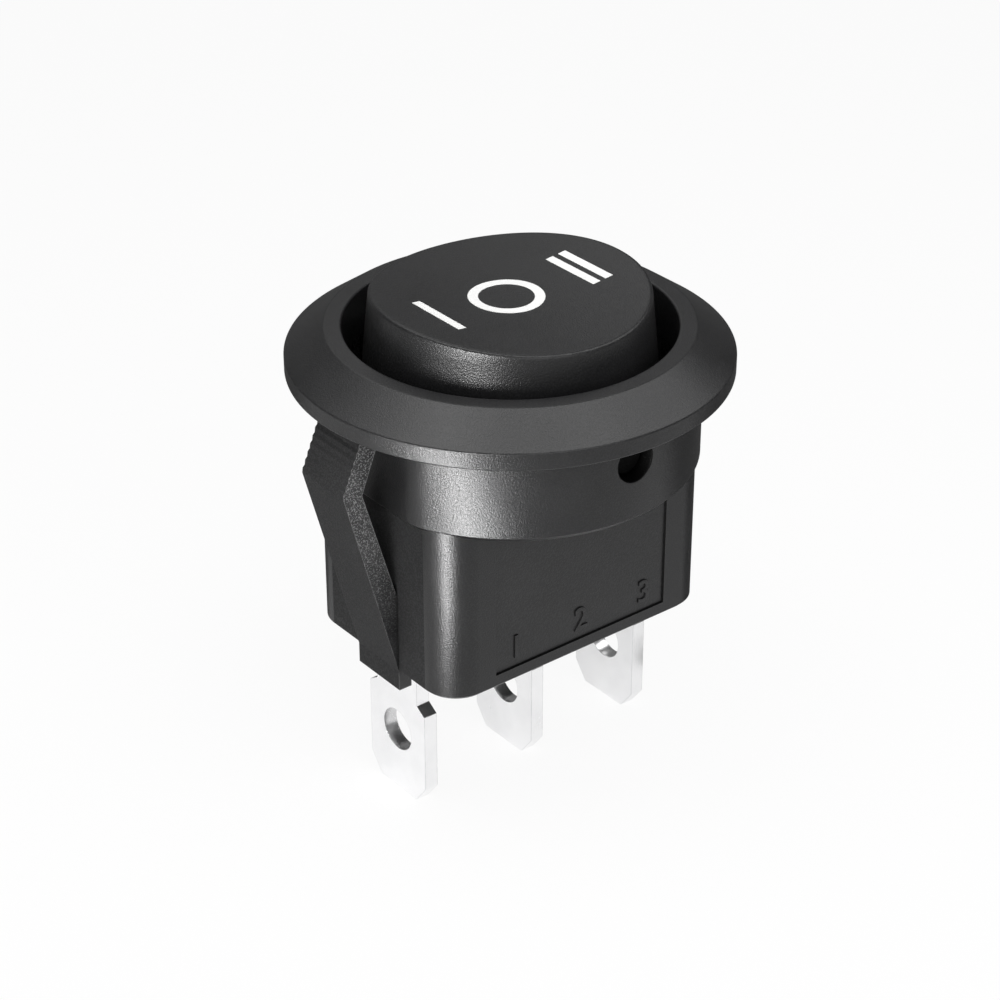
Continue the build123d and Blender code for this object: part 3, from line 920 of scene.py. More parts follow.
@dataclass
class ContactBox:
    """Walls and floor of the box that holds the contacts, with the sunk panel on its front."""

    length: float = 17.4
    width: float = 12.0
    corner: float = 2.0
    depth: float = 14.57
    floor: float = 1.3
    wall: float = 1.0
    cavity_corner: float = 1.6
    foot_chamfer: float = 0.2
    top: float = -4.3
    panel_half: float = 5.67
    panel_bottom: float = -13.77
    panel_sink: float = 0.12
    panel_lip: float = 0.05
    seams: Point2 = (-10.5, -7.5)
    grip: float = 0.02
    slot: Point2 = (0.9, 3.6)
    slot_corner: float = 0.08
    slot_flare: float = 0.06
    pitch: float = 7.2
    guide: Point2 = (0.46, 1.4)
    guide_height: float = 1.82
    pad: Point2 = (4.16, 6.09)
    pad_top: float = -11.49
    overlap: float = 0.02

    def outer(self) -> list[Point2]:
        """Outline of the box with points where the sunk panel starts."""
        x, y = self.length / 2, self.width / 2
        arcs = rounded_rectangle(self.length, self.width, self.corner, 14)
        path = []
        for i, point in enumerate(arcs):
            path.append(point)
            after = arcs[(i + 1) % len(arcs)]
            if abs(point[1] + y) < 1e-6 and abs(after[1] + y) < 1e-6 and point[0] < after[0] - x:
                inner = self.panel_half - self.panel_lip
                for at in (-self.panel_half, -inner, -inner / 3, inner / 3, inner, self.panel_half):
                    path.append((at, -y))
        return path

    def shrunk(self, path: list[Point2], by: float) -> list[Point2]:
        """The outline drawn in by a distance on all sides."""
        x, y = self.length / 2 - self.corner, self.width / 2 - self.corner
        made = []
        for u, v in path:
            root = Vector((max(-x, min(x, u)), max(-y, min(y, v))))
            out = Vector((u, v)) - root
            made.append(tuple(root + out.normalized() * (out.length - by)))
        return made

    def build(self) -> BMesh:
        """The box with its cavity, slots and the pads and guides on its floor."""
        bm = bmesh.new()
        path = self.outer()
        base, chamfer, grip = -self.depth, self.foot_chamfer, self.grip
        levels = [(base, chamfer), (base + grip, chamfer - grip), (base + chamfer - grip, grip)]
        levels += [(z, 0.0) for z in (base + chamfer, base + chamfer + 0.03, self.panel_bottom,
                                      self.panel_bottom + self.panel_lip, *self.seams, self.top)]
        rows = [ring_of(bm, [(u, v, z) for u, v in self.shrunk(path, by)]) for z, by in levels]
        count = len(path)
        start = next(i for i, p in enumerate(path) if abs(p[0] + self.panel_half) < 1e-6)
        columns = range(start, start + 5)
        first = [z for z, _ in levels].index(self.panel_bottom)
        for j, (low, high) in enumerate(zip(rows, rows[1:])):
            for i in range(count):
                if j >= first and i in columns:
                    continue
                k = (i + 1) % count
                bm.faces.new((low[i], low[k], high[k], high[i]))
        self.panel(bm, rows[first:], list(range(start, start + 6)))
        cavity = rounded_rectangle(self.length - 2 * self.wall, self.width - 2 * self.wall,
                                   self.cavity_corner, 8)
        inside = [ring_of(bm, [(u, v, z) for u, v in cavity])
                  for z in (self.top, self.floor - self.depth)]
        quads_between(bm, inside[0], inside[1])
        rim = edges_round(bm, rows[-1]) + edges_round(bm, inside[0])
        bmesh.ops.triangle_fill(bm, edges=rim, use_beauty=True)
        under, over = edges_round(bm, rows[0]), edges_round(bm, inside[1])
        slot = rounded_rectangle(*self.slot, self.slot_corner, 3)
        levels = [(base, self.slot_flare), (base + self.slot_flare, 0.0),
                  (self.floor - self.depth, 0.0)]
        for k in (-1, 0, 1):
            rings = []
            for z, flare in levels:
                grown = [(u * (1 + 2 * flare / self.slot[0]), v * (1 + 2 * flare / self.slot[1]))
                         for u, v in slot]
                rings.append(ring_of(bm, [(k * self.pitch + u, v, z) for u, v in grown]))
            under += edges_round(bm, rings[0])
            over += edges_round(bm, rings[2])
            quads_between(bm, rings[0], rings[1])
            quads_between(bm, rings[1], rings[2])
        bmesh.ops.triangle_fill(bm, edges=under, use_beauty=True)
        bmesh.ops.triangle_fill(bm, edges=over, use_beauty=True)
        return joined([bm, *self.floor_blocks()])

    def panel(self, bm: BMesh, rows: list[list], columns: list[int]) -> None:
        """Sinks the front panel between the rows and columns that were left open.

        Args:
            bm: The mesh.
            rows: Rows of the wall's vertices from the panel's bottom edge up.
            columns: Columns of the wall's vertices across the panel.
        """
        sunk = []
        for row in rows[1:]:
            line = []
            for i in columns[1:-1]:
                x, y, z = row[i].co
                line.append(bm.verts.new((x, y + self.panel_sink, z)))
            sunk.append(line)
        for j, line in enumerate(sunk[:-1]):
            quads_between(bm, line, sunk[j + 1], closed=False)
            for side, inner in ((columns[0], 0), (columns[-1], -1)):
                bm.faces.new((rows[j + 1][side], rows[j + 2][side], sunk[j + 1][inner],
                              sunk[j][inner]))
        under = [rows[0][i] for i in columns[1:-1]]
        quads_between(bm, under, sunk[0], closed=False)
        for edge, inner, side in ((columns[0], 0, columns[1]), (columns[-1], -1, columns[-2])):
            bm.faces.new((rows[0][edge], rows[1][edge], sunk[0][inner], rows[0][side]))
        top = [rows[-1][i] for i in columns]
        bm.faces.new([*top, *reversed(sunk[-1])])

    def floor_blocks(self) -> list[BMesh]:
        """Pads under the outer seats and guides beside the middle blade."""
        floor = self.floor - self.depth - self.overlap
        half = self.width / 2 - self.wall + self.overlap
        blocks = []
        for span, top in ((self.guide, floor + self.guide_height), (self.pad, self.pad_top)):
            for low, high in ((-span[1], -span[0]), span):
                outline = [(low, floor), (high, floor), (high, top), (low, top)]
                blocks.append(prism(outline, [], -half, half, "XZ", 0.05))
        return blocks


@dataclass
class SnapClip:
    """One toothed snap clip, with the foot that it is rooted in."""

    end: End
    half_width: float = 1.75
    tip: Point2 = (10.63, -0.35)
    bend: Point2 = (11.8, -3.15)
    thickness: float = 1.13
    inner_bend_lag: float = 0.17
    slot_bottom: float = -9.93
    body_end: float = 8.7
    body_depth: float = 14.57
    foot_height: float = 1.08
    foot_thickness: float = 0.8
    teeth: int = 7
    tooth_depth: float = 0.13
    sides_from: float = 8.0
    past_collar: float = 9.3
    below_flange: float = -0.3

    def outline(self) -> list[Point2]:
        """The clip's outline seen along Y, for the end at +X."""
        corners: list[Corner] = [(self.tip[0] - self.thickness, self.tip[1], 0.05)]
        run = self.bend[0] - self.tip[0], self.bend[1] - self.tip[1]
        for tooth in range(self.teeth):
            share = tooth / self.teeth
            x, z = self.tip[0] + run[0] * share, self.tip[1] + run[1] * share
            corners.append((x, z, 0.02))
            corners.append((x + self.tooth_depth, z - self.tooth_depth, 0.03))
        bottom = -self.body_depth - self.foot_height
        inner = self.body_end - self.foot_thickness
        corners += [
            (*self.bend, 0.22),
            (self.body_end, -self.body_depth + 0.1, 0.1),
            (self.body_end, bottom, 0.05),
            (inner, bottom, 0.05),
            (inner, self.slot_bottom, 0.0),
            (self.body_end, self.slot_bottom, 0.0),
            (self.bend[0] - self.thickness, self.bend[1] - self.inner_bend_lag, 0.3),
        ]
        return eased_outline(corners, 3)

    def build(self) -> BMesh:
        """The clip's mesh at its own end."""
        sign = self.end.value
        outline = [(sign * x, z) for x, z in self.outline()]
        return prism(outline, [], -self.half_width, self.half_width, "XZ", 0.05)


@dataclass
class PanelNumbers:
    """Plain raised numbers of the three terminals, low on the sunk panel."""

    face: float = -5.88
    pitch: float = 4.3
    foot: float = -13.2
    size: float = 1.9
    proud: float = 0.07
    ease: float = 0.025

    def digit(self, number: int, x: float) -> BMesh:
        """One number, standing on the panel at a place along X."""
        data = bpy.data.curves.new("number", "FONT")
        data.body = str(number)
        data.size = self.size
        data.align_x = "CENTER"
        data.extrude = self.proud - self.ease
        data.bevel_depth = self.ease
        data.resolution_u = 3
        shape = bpy.data.objects.new("number", data)
        mesh = bpy.data.meshes.new_from_object(shape)
        bm = bmesh.new()
        bm.from_mesh(mesh)
        for vert in bm.verts:
            across, up, out = vert.co
            vert.co = (x + across, self.face - out, self.foot + up)
        bpy.data.objects.remove(shape)
        bpy.data.curves.remove(data)
        bpy.data.meshes.remove(mesh)
        return bm

    def build(self) -> list[BMesh]:
        """The three numbers, from the end with one bar to the end with two."""
        return [self.digit(i + 1, (i - 1) * self.pitch) for i in range(3)]


@dataclass
class Housing:
    """The housing's moulding: bezel, contact box and the two snap clips."""

    bench: Bench

    def build(self) -> None:
        """Makes the moulding as one piece of black nylon."""
        bezel = Bezel().build()
        box = ContactBox().build()
        clips = [SnapClip(end).build() for end in End]
        numbers = PanelNumbers().build()
        others = [(CLIP_SIDE_NYLON, self.is_clip_side), (CLIP_BACK_PAINTED_LIGHT_NYLON, self.is_clip_back),
                  (PAINTED_SHADE_NYLON, self.is_groove)]
        self.bench.piece("housing_moulding", joined([bezel, box, *clips, *numbers]),
                         HOUSING_NYLON, Body.BASE, "housing_plastic", ["housing"], others=others)

    @staticmethod
    def is_clip_side(face: BMFace) -> bool:
        """Whether a face is the coarsely grained side of a snap clip, with painted glints."""
        middle = face.calc_center_median()
        at_side = abs(abs(middle.y) - SnapClip.half_width) < 0.02
        return at_side and abs(middle.x) > SnapClip.sides_from and abs(face.normal.y) > 0.9

    @staticmethod
    def is_clip_back(face: BMFace) -> bool:
        """Whether a face is the dull, toothed outside of a snap clip, which gets painted light."""
        middle = face.calc_center_median()
        below_collar = middle.z < -Bezel.collar_depth
        past_wall = SnapClip.body_end - 0.01 if below_collar else SnapClip.past_collar
        at_clip = abs(middle.y) < SnapClip.half_width and abs(middle.x) > past_wall
        return at_clip and middle.z < SnapClip.below_flange and face.normal.x * middle.x > 0

    @staticmethod
    def is_groove(face: BMFace) -> bool:
        """Whether a face is the step round the sunk panel or the bore of a pivot hole, which get
        painted shade.
        """
        middle = face.calc_center_median()
        sunk = middle.y + ContactBox.width / 2
        steps = (abs(middle.x) < ContactBox.panel_half + 0.03
                 and 0.0005 < sunk < ContactBox.panel_sink - 0.0005
                 and middle.z > ContactBox.panel_bottom - 0.03
                 and abs(face.normal.y) < 0.95 and len(face.verts) == 4)
        out = math.hypot(middle.x, middle.z + Bezel.pivot_drop)
        in_wall = Bezel.well_radius - 0.04 < abs(middle.y) < Bezel.collar_radius
        return steps or (in_wall and out < Bezel.pivot_radius + 0.05)


@dataclass
class Dish:
    """The rocker's dished top: a cylinder's hollow that runs along Y."""

    edge_radius: float = 7.14
    edge: float = 4.33
    sink: float = 0.61

    @property
    def radius(self) -> float:
        """Radius of the hollow."""
        return (self.edge_radius**2 + self.sink**2) / (2 * self.sink)

    def height(self, x: float) -> float:
        """Height of the top at a place along X."""
        axis = self.edge - self.sink + self.radius
        return axis - math.sqrt(self.radius**2 - x**2)


@dataclass
class Rocker:
    """The rocker's moulding: button, skirt, stem, ears and trunnions."""

    bench: Bench
    dish: Dish
    top_radius: float = 7.14
    skirt_radius: float = 7.8
    skirt_bottom: float = -2.2
    skirt: float = 0.9
    ceiling: float = 2.77
    edge_round: float = 0.2
    stem_radius: float = 2.1
    stem_bottom: float = -6.0
    bore_radius: float = 1.3
    bore_top: float = 1.5
    pivot_drop: float = 1.59
    ear_radius: float = 1.9
    ear_face: float = 8.1
    ear_thickness: float = 1.2
    trunnion_radius: float = 1.0
    trunnion_end: float = 9.14
    ear_ease: float = 0.06
    trunnion_ease: float = 0.12
    half_rib: float = 0.4
    rib_bottom: float = -1.2
    columns: int = 320
    top_shares: tuple[float, ...] = (0, 0.12, 0.25, 0.4, 0.55, 0.7, 0.82, 0.92, 0.985, 1)
    edge_shares: tuple[float, ...] = (0.2, 0.4, 0.6, 0.8, 1)
    flank_shares: tuple[float, ...] = (0.02, 0.5, 0.98)

    def flank(self, height: float) -> float:
        """Radius of the flank at a height."""
        share = (height - self.skirt_bottom) / (self.dish.edge - self.skirt_bottom)
        return self.skirt_radius + (self.top_radius - self.skirt_radius) * share

    def rim(self, angle: float) -> Point2:
        """Radius and height where flank and dish meet, in one direction."""
        radius = self.top_radius
        for _ in range(12):
            radius = self.flank(self.dish.height(radius * math.cos(angle)))
        return radius, self.dish.height(radius * math.cos(angle))

    def section(self, angle: float) -> list[Point2]:
        """Radius and height of the rocker's points in one direction, from its middle out and under.

        Args:
            angle: The direction in radians.

        Returns:
            The points, the same number in each direction.
        """
        rim_radius, rim_height = self.rim(angle)
        start = rim_radius - self.edge_round
        points = []
        for share in self.top_shares:
            out = start * share
            points.append((out, self.dish.height(out * math.cos(angle))))
        a = Vector(points[-1])
        corner = Vector((rim_radius, rim_height))
        low = rim_height - self.edge_round
        b = Vector((self.flank(low), low))
        for share in self.edge_shares:
            arc = a * (1 - share) ** 2 + corner * 2 * share * (1 - share) + b * share**2
            points.append(tuple(arc))
        for share in self.flank_shares:
            height = low + (self.skirt_bottom + 0.08 - low) * share
            points.append((self.flank(height), height))
        return points + [
            (self.skirt_radius - 0.02, self.skirt_bottom + 0.02),
            (self.skirt_radius - 0.1, self.skirt_bottom),
            (self.skirt_radius - self.skirt, self.skirt_bottom),
            (self.top_radius - self.skirt, self.ceiling),
            (self.stem_radius, self.ceiling),
            (self.stem_radius, self.stem_bottom + 0.1),
            (self.stem_radius - 0.1, self.stem_bottom),
            (self.bore_radius, self.stem_bottom),
            (self.bore_radius, self.bore_top),
            (0, self.bore_top),
        ]

    def button(self) -> BMesh:
        """Button, skirt and stem as one closed form."""
        bm = bmesh.new()
        lines = []
        top = bm.verts.new((0, 0, self.dish.height(0)))
        under = bm.verts.new((0, 0, self.bore_top))
        for i in range(self.columns):
            angle = math.tau * i / self.columns
            points = self.section(angle)[1:-1]
            lines.append(ring_of(bm, [(*polar(r, angle), z) for r, z in points]))
        for i in range(self.columns):
            a, b = lines[i], lines[(i + 1) % self.columns]
            bm.faces.new((top, a[0], b[0]))
            bm.faces.new((under, b[-1], a[-1]))
            quads_between(bm, a, b, closed=False)
        return bm

    def pivots(self) -> list[BMesh]:
        """Ears with their trunnions, and the ribs that stiffen the underside."""
        made = []
        inner = self.ear_face - self.ear_thickness
        ease, tip_ease = self.ear_ease, self.trunnion_ease
        profile = [
            (0, inner),
            (self.ear_radius - ease, inner),
            (self.ear_radius, inner + ease),
            (self.ear_radius, self.ear_face - ease),
            (self.ear_radius - ease, self.ear_face),
            (self.trunnion_radius, self.ear_face),
            (self.trunnion_radius, self.trunnion_end - tip_ease),
            (self.trunnion_radius - tip_ease, self.trunnion_end),
            (0, self.trunnion_end),
        ]
        for side in (-1, 1):
            made.append(turned([(r, side * y) for r, y in profile], 48, -self.pivot_drop))
        reach = self.top_radius - self.skirt / 2
        for x, y in ((reach, self.half_rib), (self.half_rib, reach)):
            outline = [(-x, -y), (x, -y), (x, y), (-x, y)]
            made.append(prism(outline, [], self.rib_bottom, self.ceiling + 0.1, "XY", 0.05))
        return made

    def build(self) -> None:
        """Makes the moulding as one piece of black nylon."""
        # The trunnion ends get near-black painted shade.
        others = [(PAINTED_SHADE_NYLON, lambda face: abs(face.calc_center_median().y) > self.ear_face + 0.1)]
        self.bench.piece("rocker_moulding", joined([self.button(), *self.pivots()]), ROCKER_NYLON,
                         Body.BUTTON, "rocker_plastic", ["rocker"], others=others)


@dataclass
class Marks:
    """The white marks that fill their engravings in the rocker's top."""

    bench: Bench
    dish: Dish
    proud: float = 0.012
    root: float = 0.1
    ease: float = 0.02
    offset: float = 4.5
    bar_width: float = 0.5
    half_bar: float = 1.9
    half_pair: float = 0.41
    ring_shift: float = -0.25
    ring_radii: Point2 = (1.42, 1.97)
    ring_steps: int = 96

    def strip(self, rows: list[list[Point2]], closed: bool) -> BMesh:
        """A band that follows the dish, between rows of points from one side to the other.

        Args:
            rows: Rows across the band, each from one side to the other.
            closed: Whether the last row joins the first, as in a ring.

        Returns:
            A new mesh.
        """
        bm = bmesh.new()
        lines = []
        for row in rows:
            tops = [(x, y, self.dish.height(x) + self.proud) for x, y in row]
            first, last = row[0], row[-1]
            line = [(*first, self.dish.height(first[0]) - self.root),
                    (*first, self.dish.height(first[0]) + self.proud - self.ease), *tops[1:-1],
                    (*last, self.dish.height(last[0]) + self.proud - self.ease),
                    (*last, self.dish.height(last[0]) - self.root)]
            lines.append(ring_of(bm, line))
        for i in range(len(lines) if closed else len(lines) - 1):
            quads_between(bm, lines[i], lines[(i + 1) % len(lines)])
        if not closed:
            bm.faces.new(lines[0])
            bm.faces.new(list(reversed(lines[-1])))
        return bm

    def across(self, low: float, high: float) -> list[float]:
        """Places across a band of paint, with one just inside either edge."""
        return [low, low + self.ease, (low + high) / 2, high - self.ease, high]

    def bar(self, middle: float) -> BMesh:
        """A bar across the rocker at a place along X."""
        across = self.across(-self.bar_width / 2, self.bar_width / 2)
        along = self.across(-self.half_bar, self.half_bar)
        return self.strip([[(middle + x, y) for x in across] for y in along], False)

    def ring(self) -> BMesh:
        """The ring of the middle position."""
        rows = []
        for i in range(self.ring_steps):
            x, y = polar(1, math.tau * i / self.ring_steps)
            rows.append([(self.ring_shift + r * x, r * y) for r in self.across(*self.ring_radii)])
        return self.strip(rows, True)

    def build(self) -> None:
        """Makes the single bar, the ring and the pair of bars."""
        one, off = self.bar(-self.offset), self.ring()
        two = joined([self.bar(self.offset + side * self.half_pair) for side in (-1, 1)])
        for name, bm, node in (("mark_one_bar", one, "legend_one"), ("mark_ring", off, "legend_off"),
                               ("mark_two_bars", two, "legend_two")):
            self.bench.piece(name, bm, MARK_WHITE, Body.BUTTON, "mark_paint", [node], False)


@dataclass
class Blade:
    """A flat terminal with its wire hole, stamped from plated strip."""

    bench: Bench
    half_width: float = 2.4
    half_neck: float = 1.75
    half_thickness: float = 0.4
    pitch: float = 7.2
    tip: float = -23.25
    shoulder: float = -17.1
    shoulder_drop: float = 0.42
    corner: Point2 = (0.85, 1.12)
    hole_height: float = -19.5
    hole_radius: float = 1.2
    ease: float = 0.05
    seat_top: float = -10.63
    seat_end: float = 3.8
    bend: float = 0.7
    plate_top: float = -13.27
    web_bottom: float = -13.3
    fulcrum: float = -9.6
    cheek_height: float = 1.4
    half_cradle: float = 1.4
    half_web: float = 2.0

    def outline(self, top: float) -> list[Point2]:
        """The blade's outline seen along X, up to a height."""
        right: list[Corner] = [
            (self.half_width - self.corner[0], self.tip, 0.08),
            (self.half_width, self.tip + self.corner[1], 0.12),
            (self.half_width, self.shoulder - self.shoulder_drop, 0.08),
            (self.half_neck, self.shoulder, 0.06),
            (self.half_neck, top, 0.0),
        ]
        return eased_outline(right + [(-y, z, r) for y, z, r in reversed(right)], 4)

    def hole(self) -> list[Point2]:
        """Outline of the wire hole."""
        points = [polar(self.hole_radius, math.tau * i / 72) for i in range(72)]
        return [(y, z + self.hole_height) for y, z in points]

    def is_hole_wall(self, face: BMFace) -> bool:
        """Whether a face is the wall of the wire hole, which gets painted shade."""
        middle = face.calc_center_median()
        out = math.hypot(middle.y, middle.z - self.hole_height)
        return out < self.hole_radius + 0.01 and abs(face.normal.x) < 0.5

    def plate(self, x: float, top: float) -> BMesh:
        """The flat plate at a place along X, up to a height."""
        return prism(self.outline(top), [self.hole()], x - self.half_thickness,
                     x + self.half_thickness, "YZ", self.ease, 3, 0.02)

    def outer(self, end: End) -> None:
        """Makes an outer terminal with the seat that its top is bent to.

        Args:
            end: Which end it stands at.
        """
        sign = end.value
        thickness = 2 * self.half_thickness
        outer, inner = self.pitch + self.half_thickness, self.pitch - self.half_thickness
        low = self.seat_top - thickness - self.bend
        corners: list[Corner] = [
            (self.seat_end, self.seat_top, 0.05),
            (outer, self.seat_top, self.bend + self.half_thickness),
            (outer, low, 0.0),
            (inner, low, 0.0),
            (inner, self.seat_top - thickness, self.bend),
            (self.seat_end, self.seat_top - thickness, 0.05),
        ]
        seat = [(sign * x, z) for x, z in eased_outline(corners, 8)]
        bent = prism(seat, [], -self.half_neck, self.half_neck, "XZ", 0.0)
        plate = self.plate(sign * self.pitch, low)
        name = "terminal_one" if end is End.ONE_BAR else "terminal_two"
        self.bench.piece(f"{name}_blade", joined([plate, bent]), BLADE_NICKEL, Body.BASE,
                         "plated_brass", [name], others=[(PUNCHED_BORE_SHADE, self.is_hole_wall)])

    def common(self) -> None:
        """Makes the middle terminal, whose rounded top carries the lever."""
        half, gap, out = self.half_thickness, self.half_cradle, self.half_web
        cheek_top = self.fulcrum + self.cheek_height
        outline = [(-out, self.web_bottom), (out, self.web_bottom), (out, cheek_top),
                   (gap, cheek_top), (gap, self.fulcrum), (-gap, self.fulcrum),
                   (-gap, cheek_top), (-out, cheek_top)]
        web = prism(outline, [], -half, half, "YZ", 0.0)
        knife = turned([(0, -gap), (half, -gap), (half, gap), (0, gap)], 32, self.fulcrum)
        self.bench.piece("common_blade", joined([self.plate(0.0, self.plate_top), web, knife]),
                         BLADE_NICKEL, Body.BASE, "plated_brass", ["common_terminal"],
                         others=[(PUNCHED_BORE_SHADE, self.is_hole_wall)])


@dataclass
class Mechanism:
    """The pieces inside, which keep the frame's shapes and get their finishes."""

    bench: Bench
    spring_top: float = 1.5
    spring_keep: float = 0.89

    def dress(self, frame: dict) -> None:
        """Gives each inner piece its finish."""
        finishes = {
            "plunger": PLUNGER_ACETAL,
            "contact_lever": LEVER_BRASS,
            "moving_contact_one": CONTACT_SILVER,
            "moving_contact_two": CONTACT_SILVER,
            "fixed_contact_one": CONTACT_SILVER,
            "fixed_contact_two": CONTACT_SILVER,
        }
        for node, finish in finishes.items():
            self.bench.dress(frame, node, finish)

    def coil(self, frame: dict) -> None:
        """Makes the plunger's spring, a copy of the frame's spring that rides on the button."""
        solid = frame["nodes"]["spring"]
        made = placed("spring_coil", solid.data.copy())
        made.data.materials.clear()
        made.data.materials.append(SPRING_WIRE.material())
        made.matrix_world = solid.matrix_world.copy()
        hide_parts("spring")
        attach(made, Body.BUTTON.value)
        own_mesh(made)
        LOG.info("spring_coil: %d faces", len(made.data.polygons))


def facing(side: Vector, up: Vector, back: Vector, place: Vector) -> Matrix:
    """Stand of a camera or lamp, from its own three axes and its place."""
    turn = Matrix((side, up, back)).transposed().to_4x4()
    return Matrix.Translation(place * MM) @ turn


@dataclass(frozen=True)
class Lamp:
    """A soft lamp, which the camera itself doesn't see.

    Its length follows the direction "along", and with "gloss_only" it shows in the gloss alone.
    The beam is an angle in degrees.
    """

    name: str
    place: Point3
    size: Point2
    watts: float
    aim: Point3 = (0, 0, -8)
    along: Point3 = (0, 0, 1)
    gloss_only: bool = False
    beam: float = 180.0

    def hang(self) -> None:
        """Makes the lamp and turns it to the point that it lights."""
        data = bpy.data.lights.new(self.name, "AREA")
        data.shape = "RECTANGLE"
        data.size, data.size_y = self.size[0] * MM, self.size[1] * MM
        data.energy = self.watts
        data.spread = math.radians(self.beam)
        lamp = placed(self.name, data)
        away = (Vector(self.place) - Vector(self.aim)).normalized()
        side = Vector(self.along).cross(away).normalized()
        lamp.matrix_world = facing(side, away.cross(side), away, Vector(self.place))
        lamp.visible_camera = False
        lamp.visible_diffuse = not self.gloss_only


# A direction along the row of blades, and the places of the switch that some lamps are aimed at
ROW, TOP = (-1, 0, 0), (0, 0, 3)
CORNER, BRIM = (-8.2, -5.3, -7.5), (-9.6, -6.4, 0.8)
LAMPS = (
    Lamp("overhead", (-12, -16, 105), (50, 140), 0.091, along=(0.78, -0.62, 0)),
    Lamp("front_left", (-120, -30, 25), (70, 70), 0.020),
    Lamp("front", (-20, -112, 50), (110, 90), 0.058),
    Lamp("back_card", (25, 75, 92), (50, 110), 0.021, along=(1, 0, 0), gloss_only=True),
    Lamp("left_card", (-40, 40, 96), (60, 80), 0.025, along=(0, 1, 0), gloss_only=True),
    Lamp("right_card", (73, -28, 83), (76, 60), 0.038, along=(0, 1, 0), gloss_only=True),
    Lamp("crown_card", (-30, 10, 98), (36, 36), 0.0025, gloss_only=True),
    Lamp("low_strip", (-46, -18.7, -23.1), (10.5, 32), 0.047, (-46, -18.7, 0), ROW, True),
    Lamp("low_mat", (-56, -6.8, -23.1), (15, 20), 0.009, (-56, -6.8, 0), ROW, True),
    Lamp("corner_card", (-28.5, -19, -20.4), (18, 5.2), 0.0004, CORNER, gloss_only=True, beam=30),
    Lamp("brim_card", (-49.5, -16.5, -22.5), (9, 7), 0.00016, BRIM, gloss_only=True, beam=16),
    Lamp("mid_card", (-88.6, -45.7, 7), (34, 26), 0.17, TOP, gloss_only=True),
    Lamp("low_side", (-105, -10, -6), (36, 30), 0.03, TOP, gloss_only=True),
)


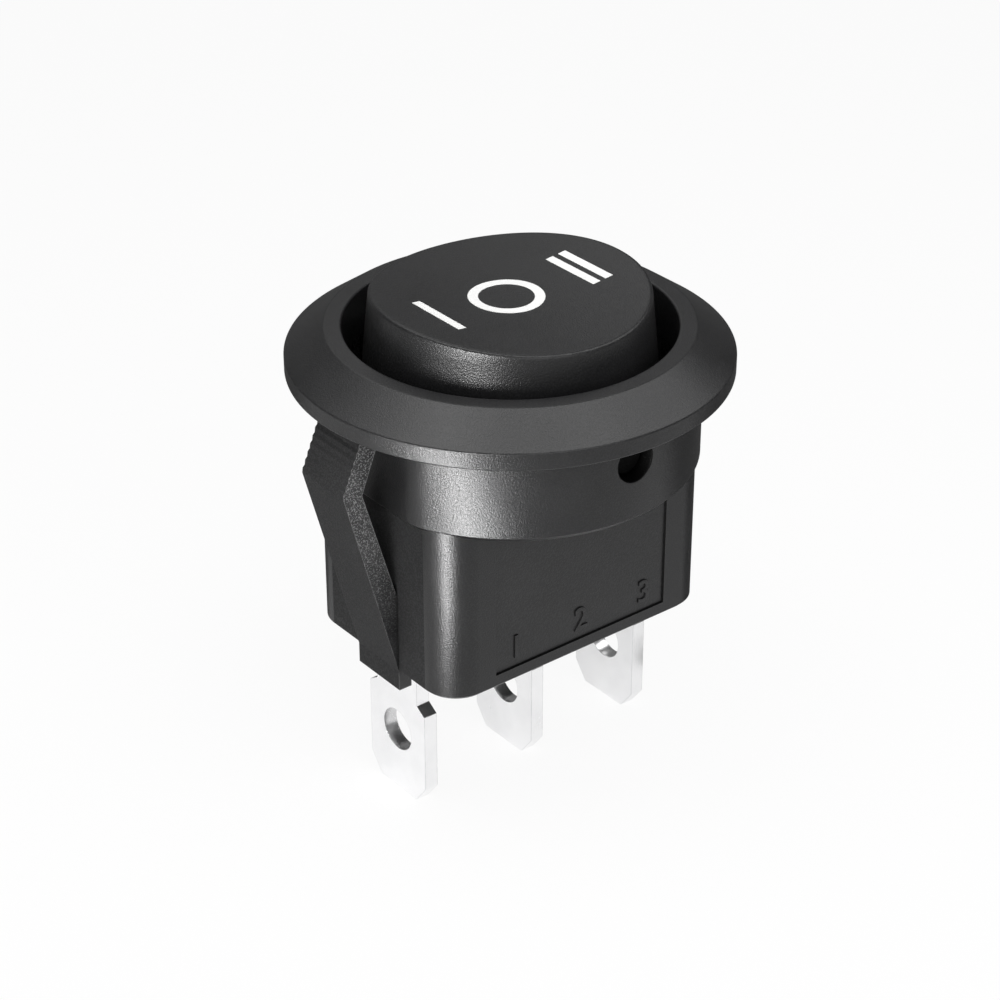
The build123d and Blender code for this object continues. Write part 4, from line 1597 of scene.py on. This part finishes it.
@dataclass
class Studio:
    """Pale floor, soft lamps and the camera at the photograph's angle.

    A span is where a change begins and ends, and the strengths at these two places. The spans of
    the floor, pool and ahead_span, are in metres.
    """

    floor_height: float = -23.26
    floor_reach: float = 900.0
    floor_grey: float = 0.86
    floor_roughness: float = 0.9
    floor_glow: float = 0.92
    pool: Span = (0.026, 0.050, 0.88, 0.22)
    ahead: Point3 = (-0.62, -0.78, 0)
    ahead_span: Point3 = (-0.028, 0.004, 0.08)
    sky: Span = (0.60, 0.90, 0.18, 0.07)
    matt_light: float = 0.4
    sheet_reach: Point2 = (12.0, 400.0)
    sheet_turns: tuple[float, ...] = (-30, 8, 45, 82, 118)
    sheet_lift: float = 0.05
    sheet_glow: float = 0.12
    distance: float = 132.997
    azimuth: float = -38.415
    elevation: float = 30.015
    shift: Point2 = (0.519, 7.078)
    lens: float = 93.91

    def camera(self) -> None:
        """Makes the camera."""
        az, el = math.radians(self.azimuth), math.radians(self.elevation)
        toward = Vector((math.sin(az) * math.cos(el), -math.cos(az) * math.cos(el), math.sin(el)))
        right = (-toward).cross(Vector((0, 0, 1))).normalized()
        up = right.cross(-toward)
        data = bpy.data.cameras.new("view")
        data.sensor_width = 36.0
        data.lens = self.lens
        data.clip_start, data.clip_end = 0.005, 5.0
        camera = placed("view", data)
        place = toward * self.distance - right * self.shift[0] - up * self.shift[1]
        camera.matrix_world = facing(right, up, toward, place)
        bpy.context.scene.camera = camera

    @staticmethod
    def seen(at: Wiring, gloss: NodeSocket) -> NodeSocket:
        """How strongly a white ground shows: fully, or by the given strength in gloss."""
        rays = at.node("LightPath").outputs
        plain = at.maths("MAXIMUM", rays["Is Camera Ray"], rays["Is Transmission Ray"])
        return at.maths("MAXIMUM", plain, at.times(rays["Is Glossy Ray"], gloss))

    def world(self) -> None:
        """Sets the plain soft light all round, white where the camera or a gloss looks past."""
        world = bpy.data.worlds.new("studio")
        world.use_nodes = True
        at = Wiring(world.node_tree)
        place = at.node("TexCoord").outputs["Generated"]
        across = at.node("SeparateXYZ", {0: place}).outputs["X"]
        seen = self.seen(at, at.spread(across, *self.sky))
        matt = at.times(at.node("LightPath").outputs["Is Diffuse Ray"], self.matt_light)
        at.feed(at.tree.nodes["Background"],
                {"Color": (1, 1, 1, 1), "Strength": at.maths("MAXIMUM", seen, matt)})
        bpy.context.scene.world = world

    def sheet(self, name: str, material: Material, edge: Sequence[Point2],
              height: float) -> Object:
        """Lays a flat sheet of the studio's, which is no part of the switch.

        Args:
            name: Its name.
            material: Its material.
            edge: Its outline.
            height: Its height.

        Returns:
            The sheet.
        """
        bm = bmesh.new()
        bm.faces.new(ring_of(bm, [(x, y, height) for x, y in edge]))
        mesh = mesh_of(name, bm)
        mesh.materials.append(material)
        made = placed(name, mesh)
        return made

    def floor(self) -> None:
        """Makes the pale floor, which keeps a soft shadow and in gloss shows a painted patch of light.
        """
        material, at, shader = started("pale_floor")
        grey, reach = self.floor_grey, self.floor_reach
        at.feed(shader, {"Base Color": (grey, grey, grey, 1), "Roughness": self.floor_roughness})
        place = at.node("TexCoord").outputs["Object"]
        far = at.node("VectorMath", {0: place}, operation="LENGTH")
        ahead = at.node("VectorMath", {0: place, 1: self.ahead}, operation="DOT_PRODUCT")
        # Painted light: in gloss the floor glows bright near the switch on its camera side, dimmer
        # further off and behind.
        pool = at.times(at.spread(far.outputs["Value"], *self.pool),
                        at.spread(ahead.outputs["Value"], *self.ahead_span))
        mix = at.node("MixShader", {0: at.times(self.seen(at, pool), self.floor_glow),
                                    1: shader.outputs[0], 2: at.node("Emission").outputs[0]})
        at.feed(at.tree.nodes["Material Output"], {"Surface": mix.outputs[0]})
        edge = [(-reach, -reach), (reach, -reach), (reach, reach), (-reach, reach)]
        self.sheet("floor", material, edge, self.floor_height)

    def dark_sheet(self) -> None:
        """Lays a dark sheet behind the switch that only gloss sees, so that far edges stay dark."""
        material, at, shader = started("dark_sheet")
        glow = at.node("Emission", {"Strength": self.sheet_glow})
        at.feed(at.tree.nodes["Material Output"], {"Surface": glow.outputs[0]})
        at.tree.nodes.remove(shader)
        near, far = self.sheet_reach
        turns = [math.radians(angle) for angle in self.sheet_turns]
        edge = [polar(near, turn) for turn in turns] + [polar(far, turn) for turn in reversed(turns)]
        made = self.sheet("dark_sheet", material, edge, self.floor_height + self.sheet_lift)
        made.visible_camera = made.visible_diffuse = made.visible_shadow = False
        made.visible_transmission = made.visible_volume_scatter = False

    def build(self) -> None:
        """Sets up the whole studio."""
        self.camera()
        self.world()
        self.floor()
        self.dark_sheet()
        for lamp in LAMPS:
            lamp.hang()
        bpy.context.scene.view_settings.view_transform = "Standard"


def main() -> None:
    """Builds the dressed switch and its studio, piece by piece."""
    logging.basicConfig(level=logging.INFO, format="%(name)s: %(message)s")
    for leftover in list(bpy.data.objects):
        bpy.data.objects.remove(leftover)
    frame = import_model()
    bench = Bench()
    dish = Dish()
    Housing(bench).build()
    Rocker(bench, dish).build()
    Marks(bench, dish).build()
    blade = Blade(bench)
    for end in End:
        blade.outer(end)
    blade.common()
    mechanism = Mechanism(bench)
    mechanism.dress(frame)
    mechanism.coil(frame)
    Studio().build()


if __name__ == "__main__":
    main()
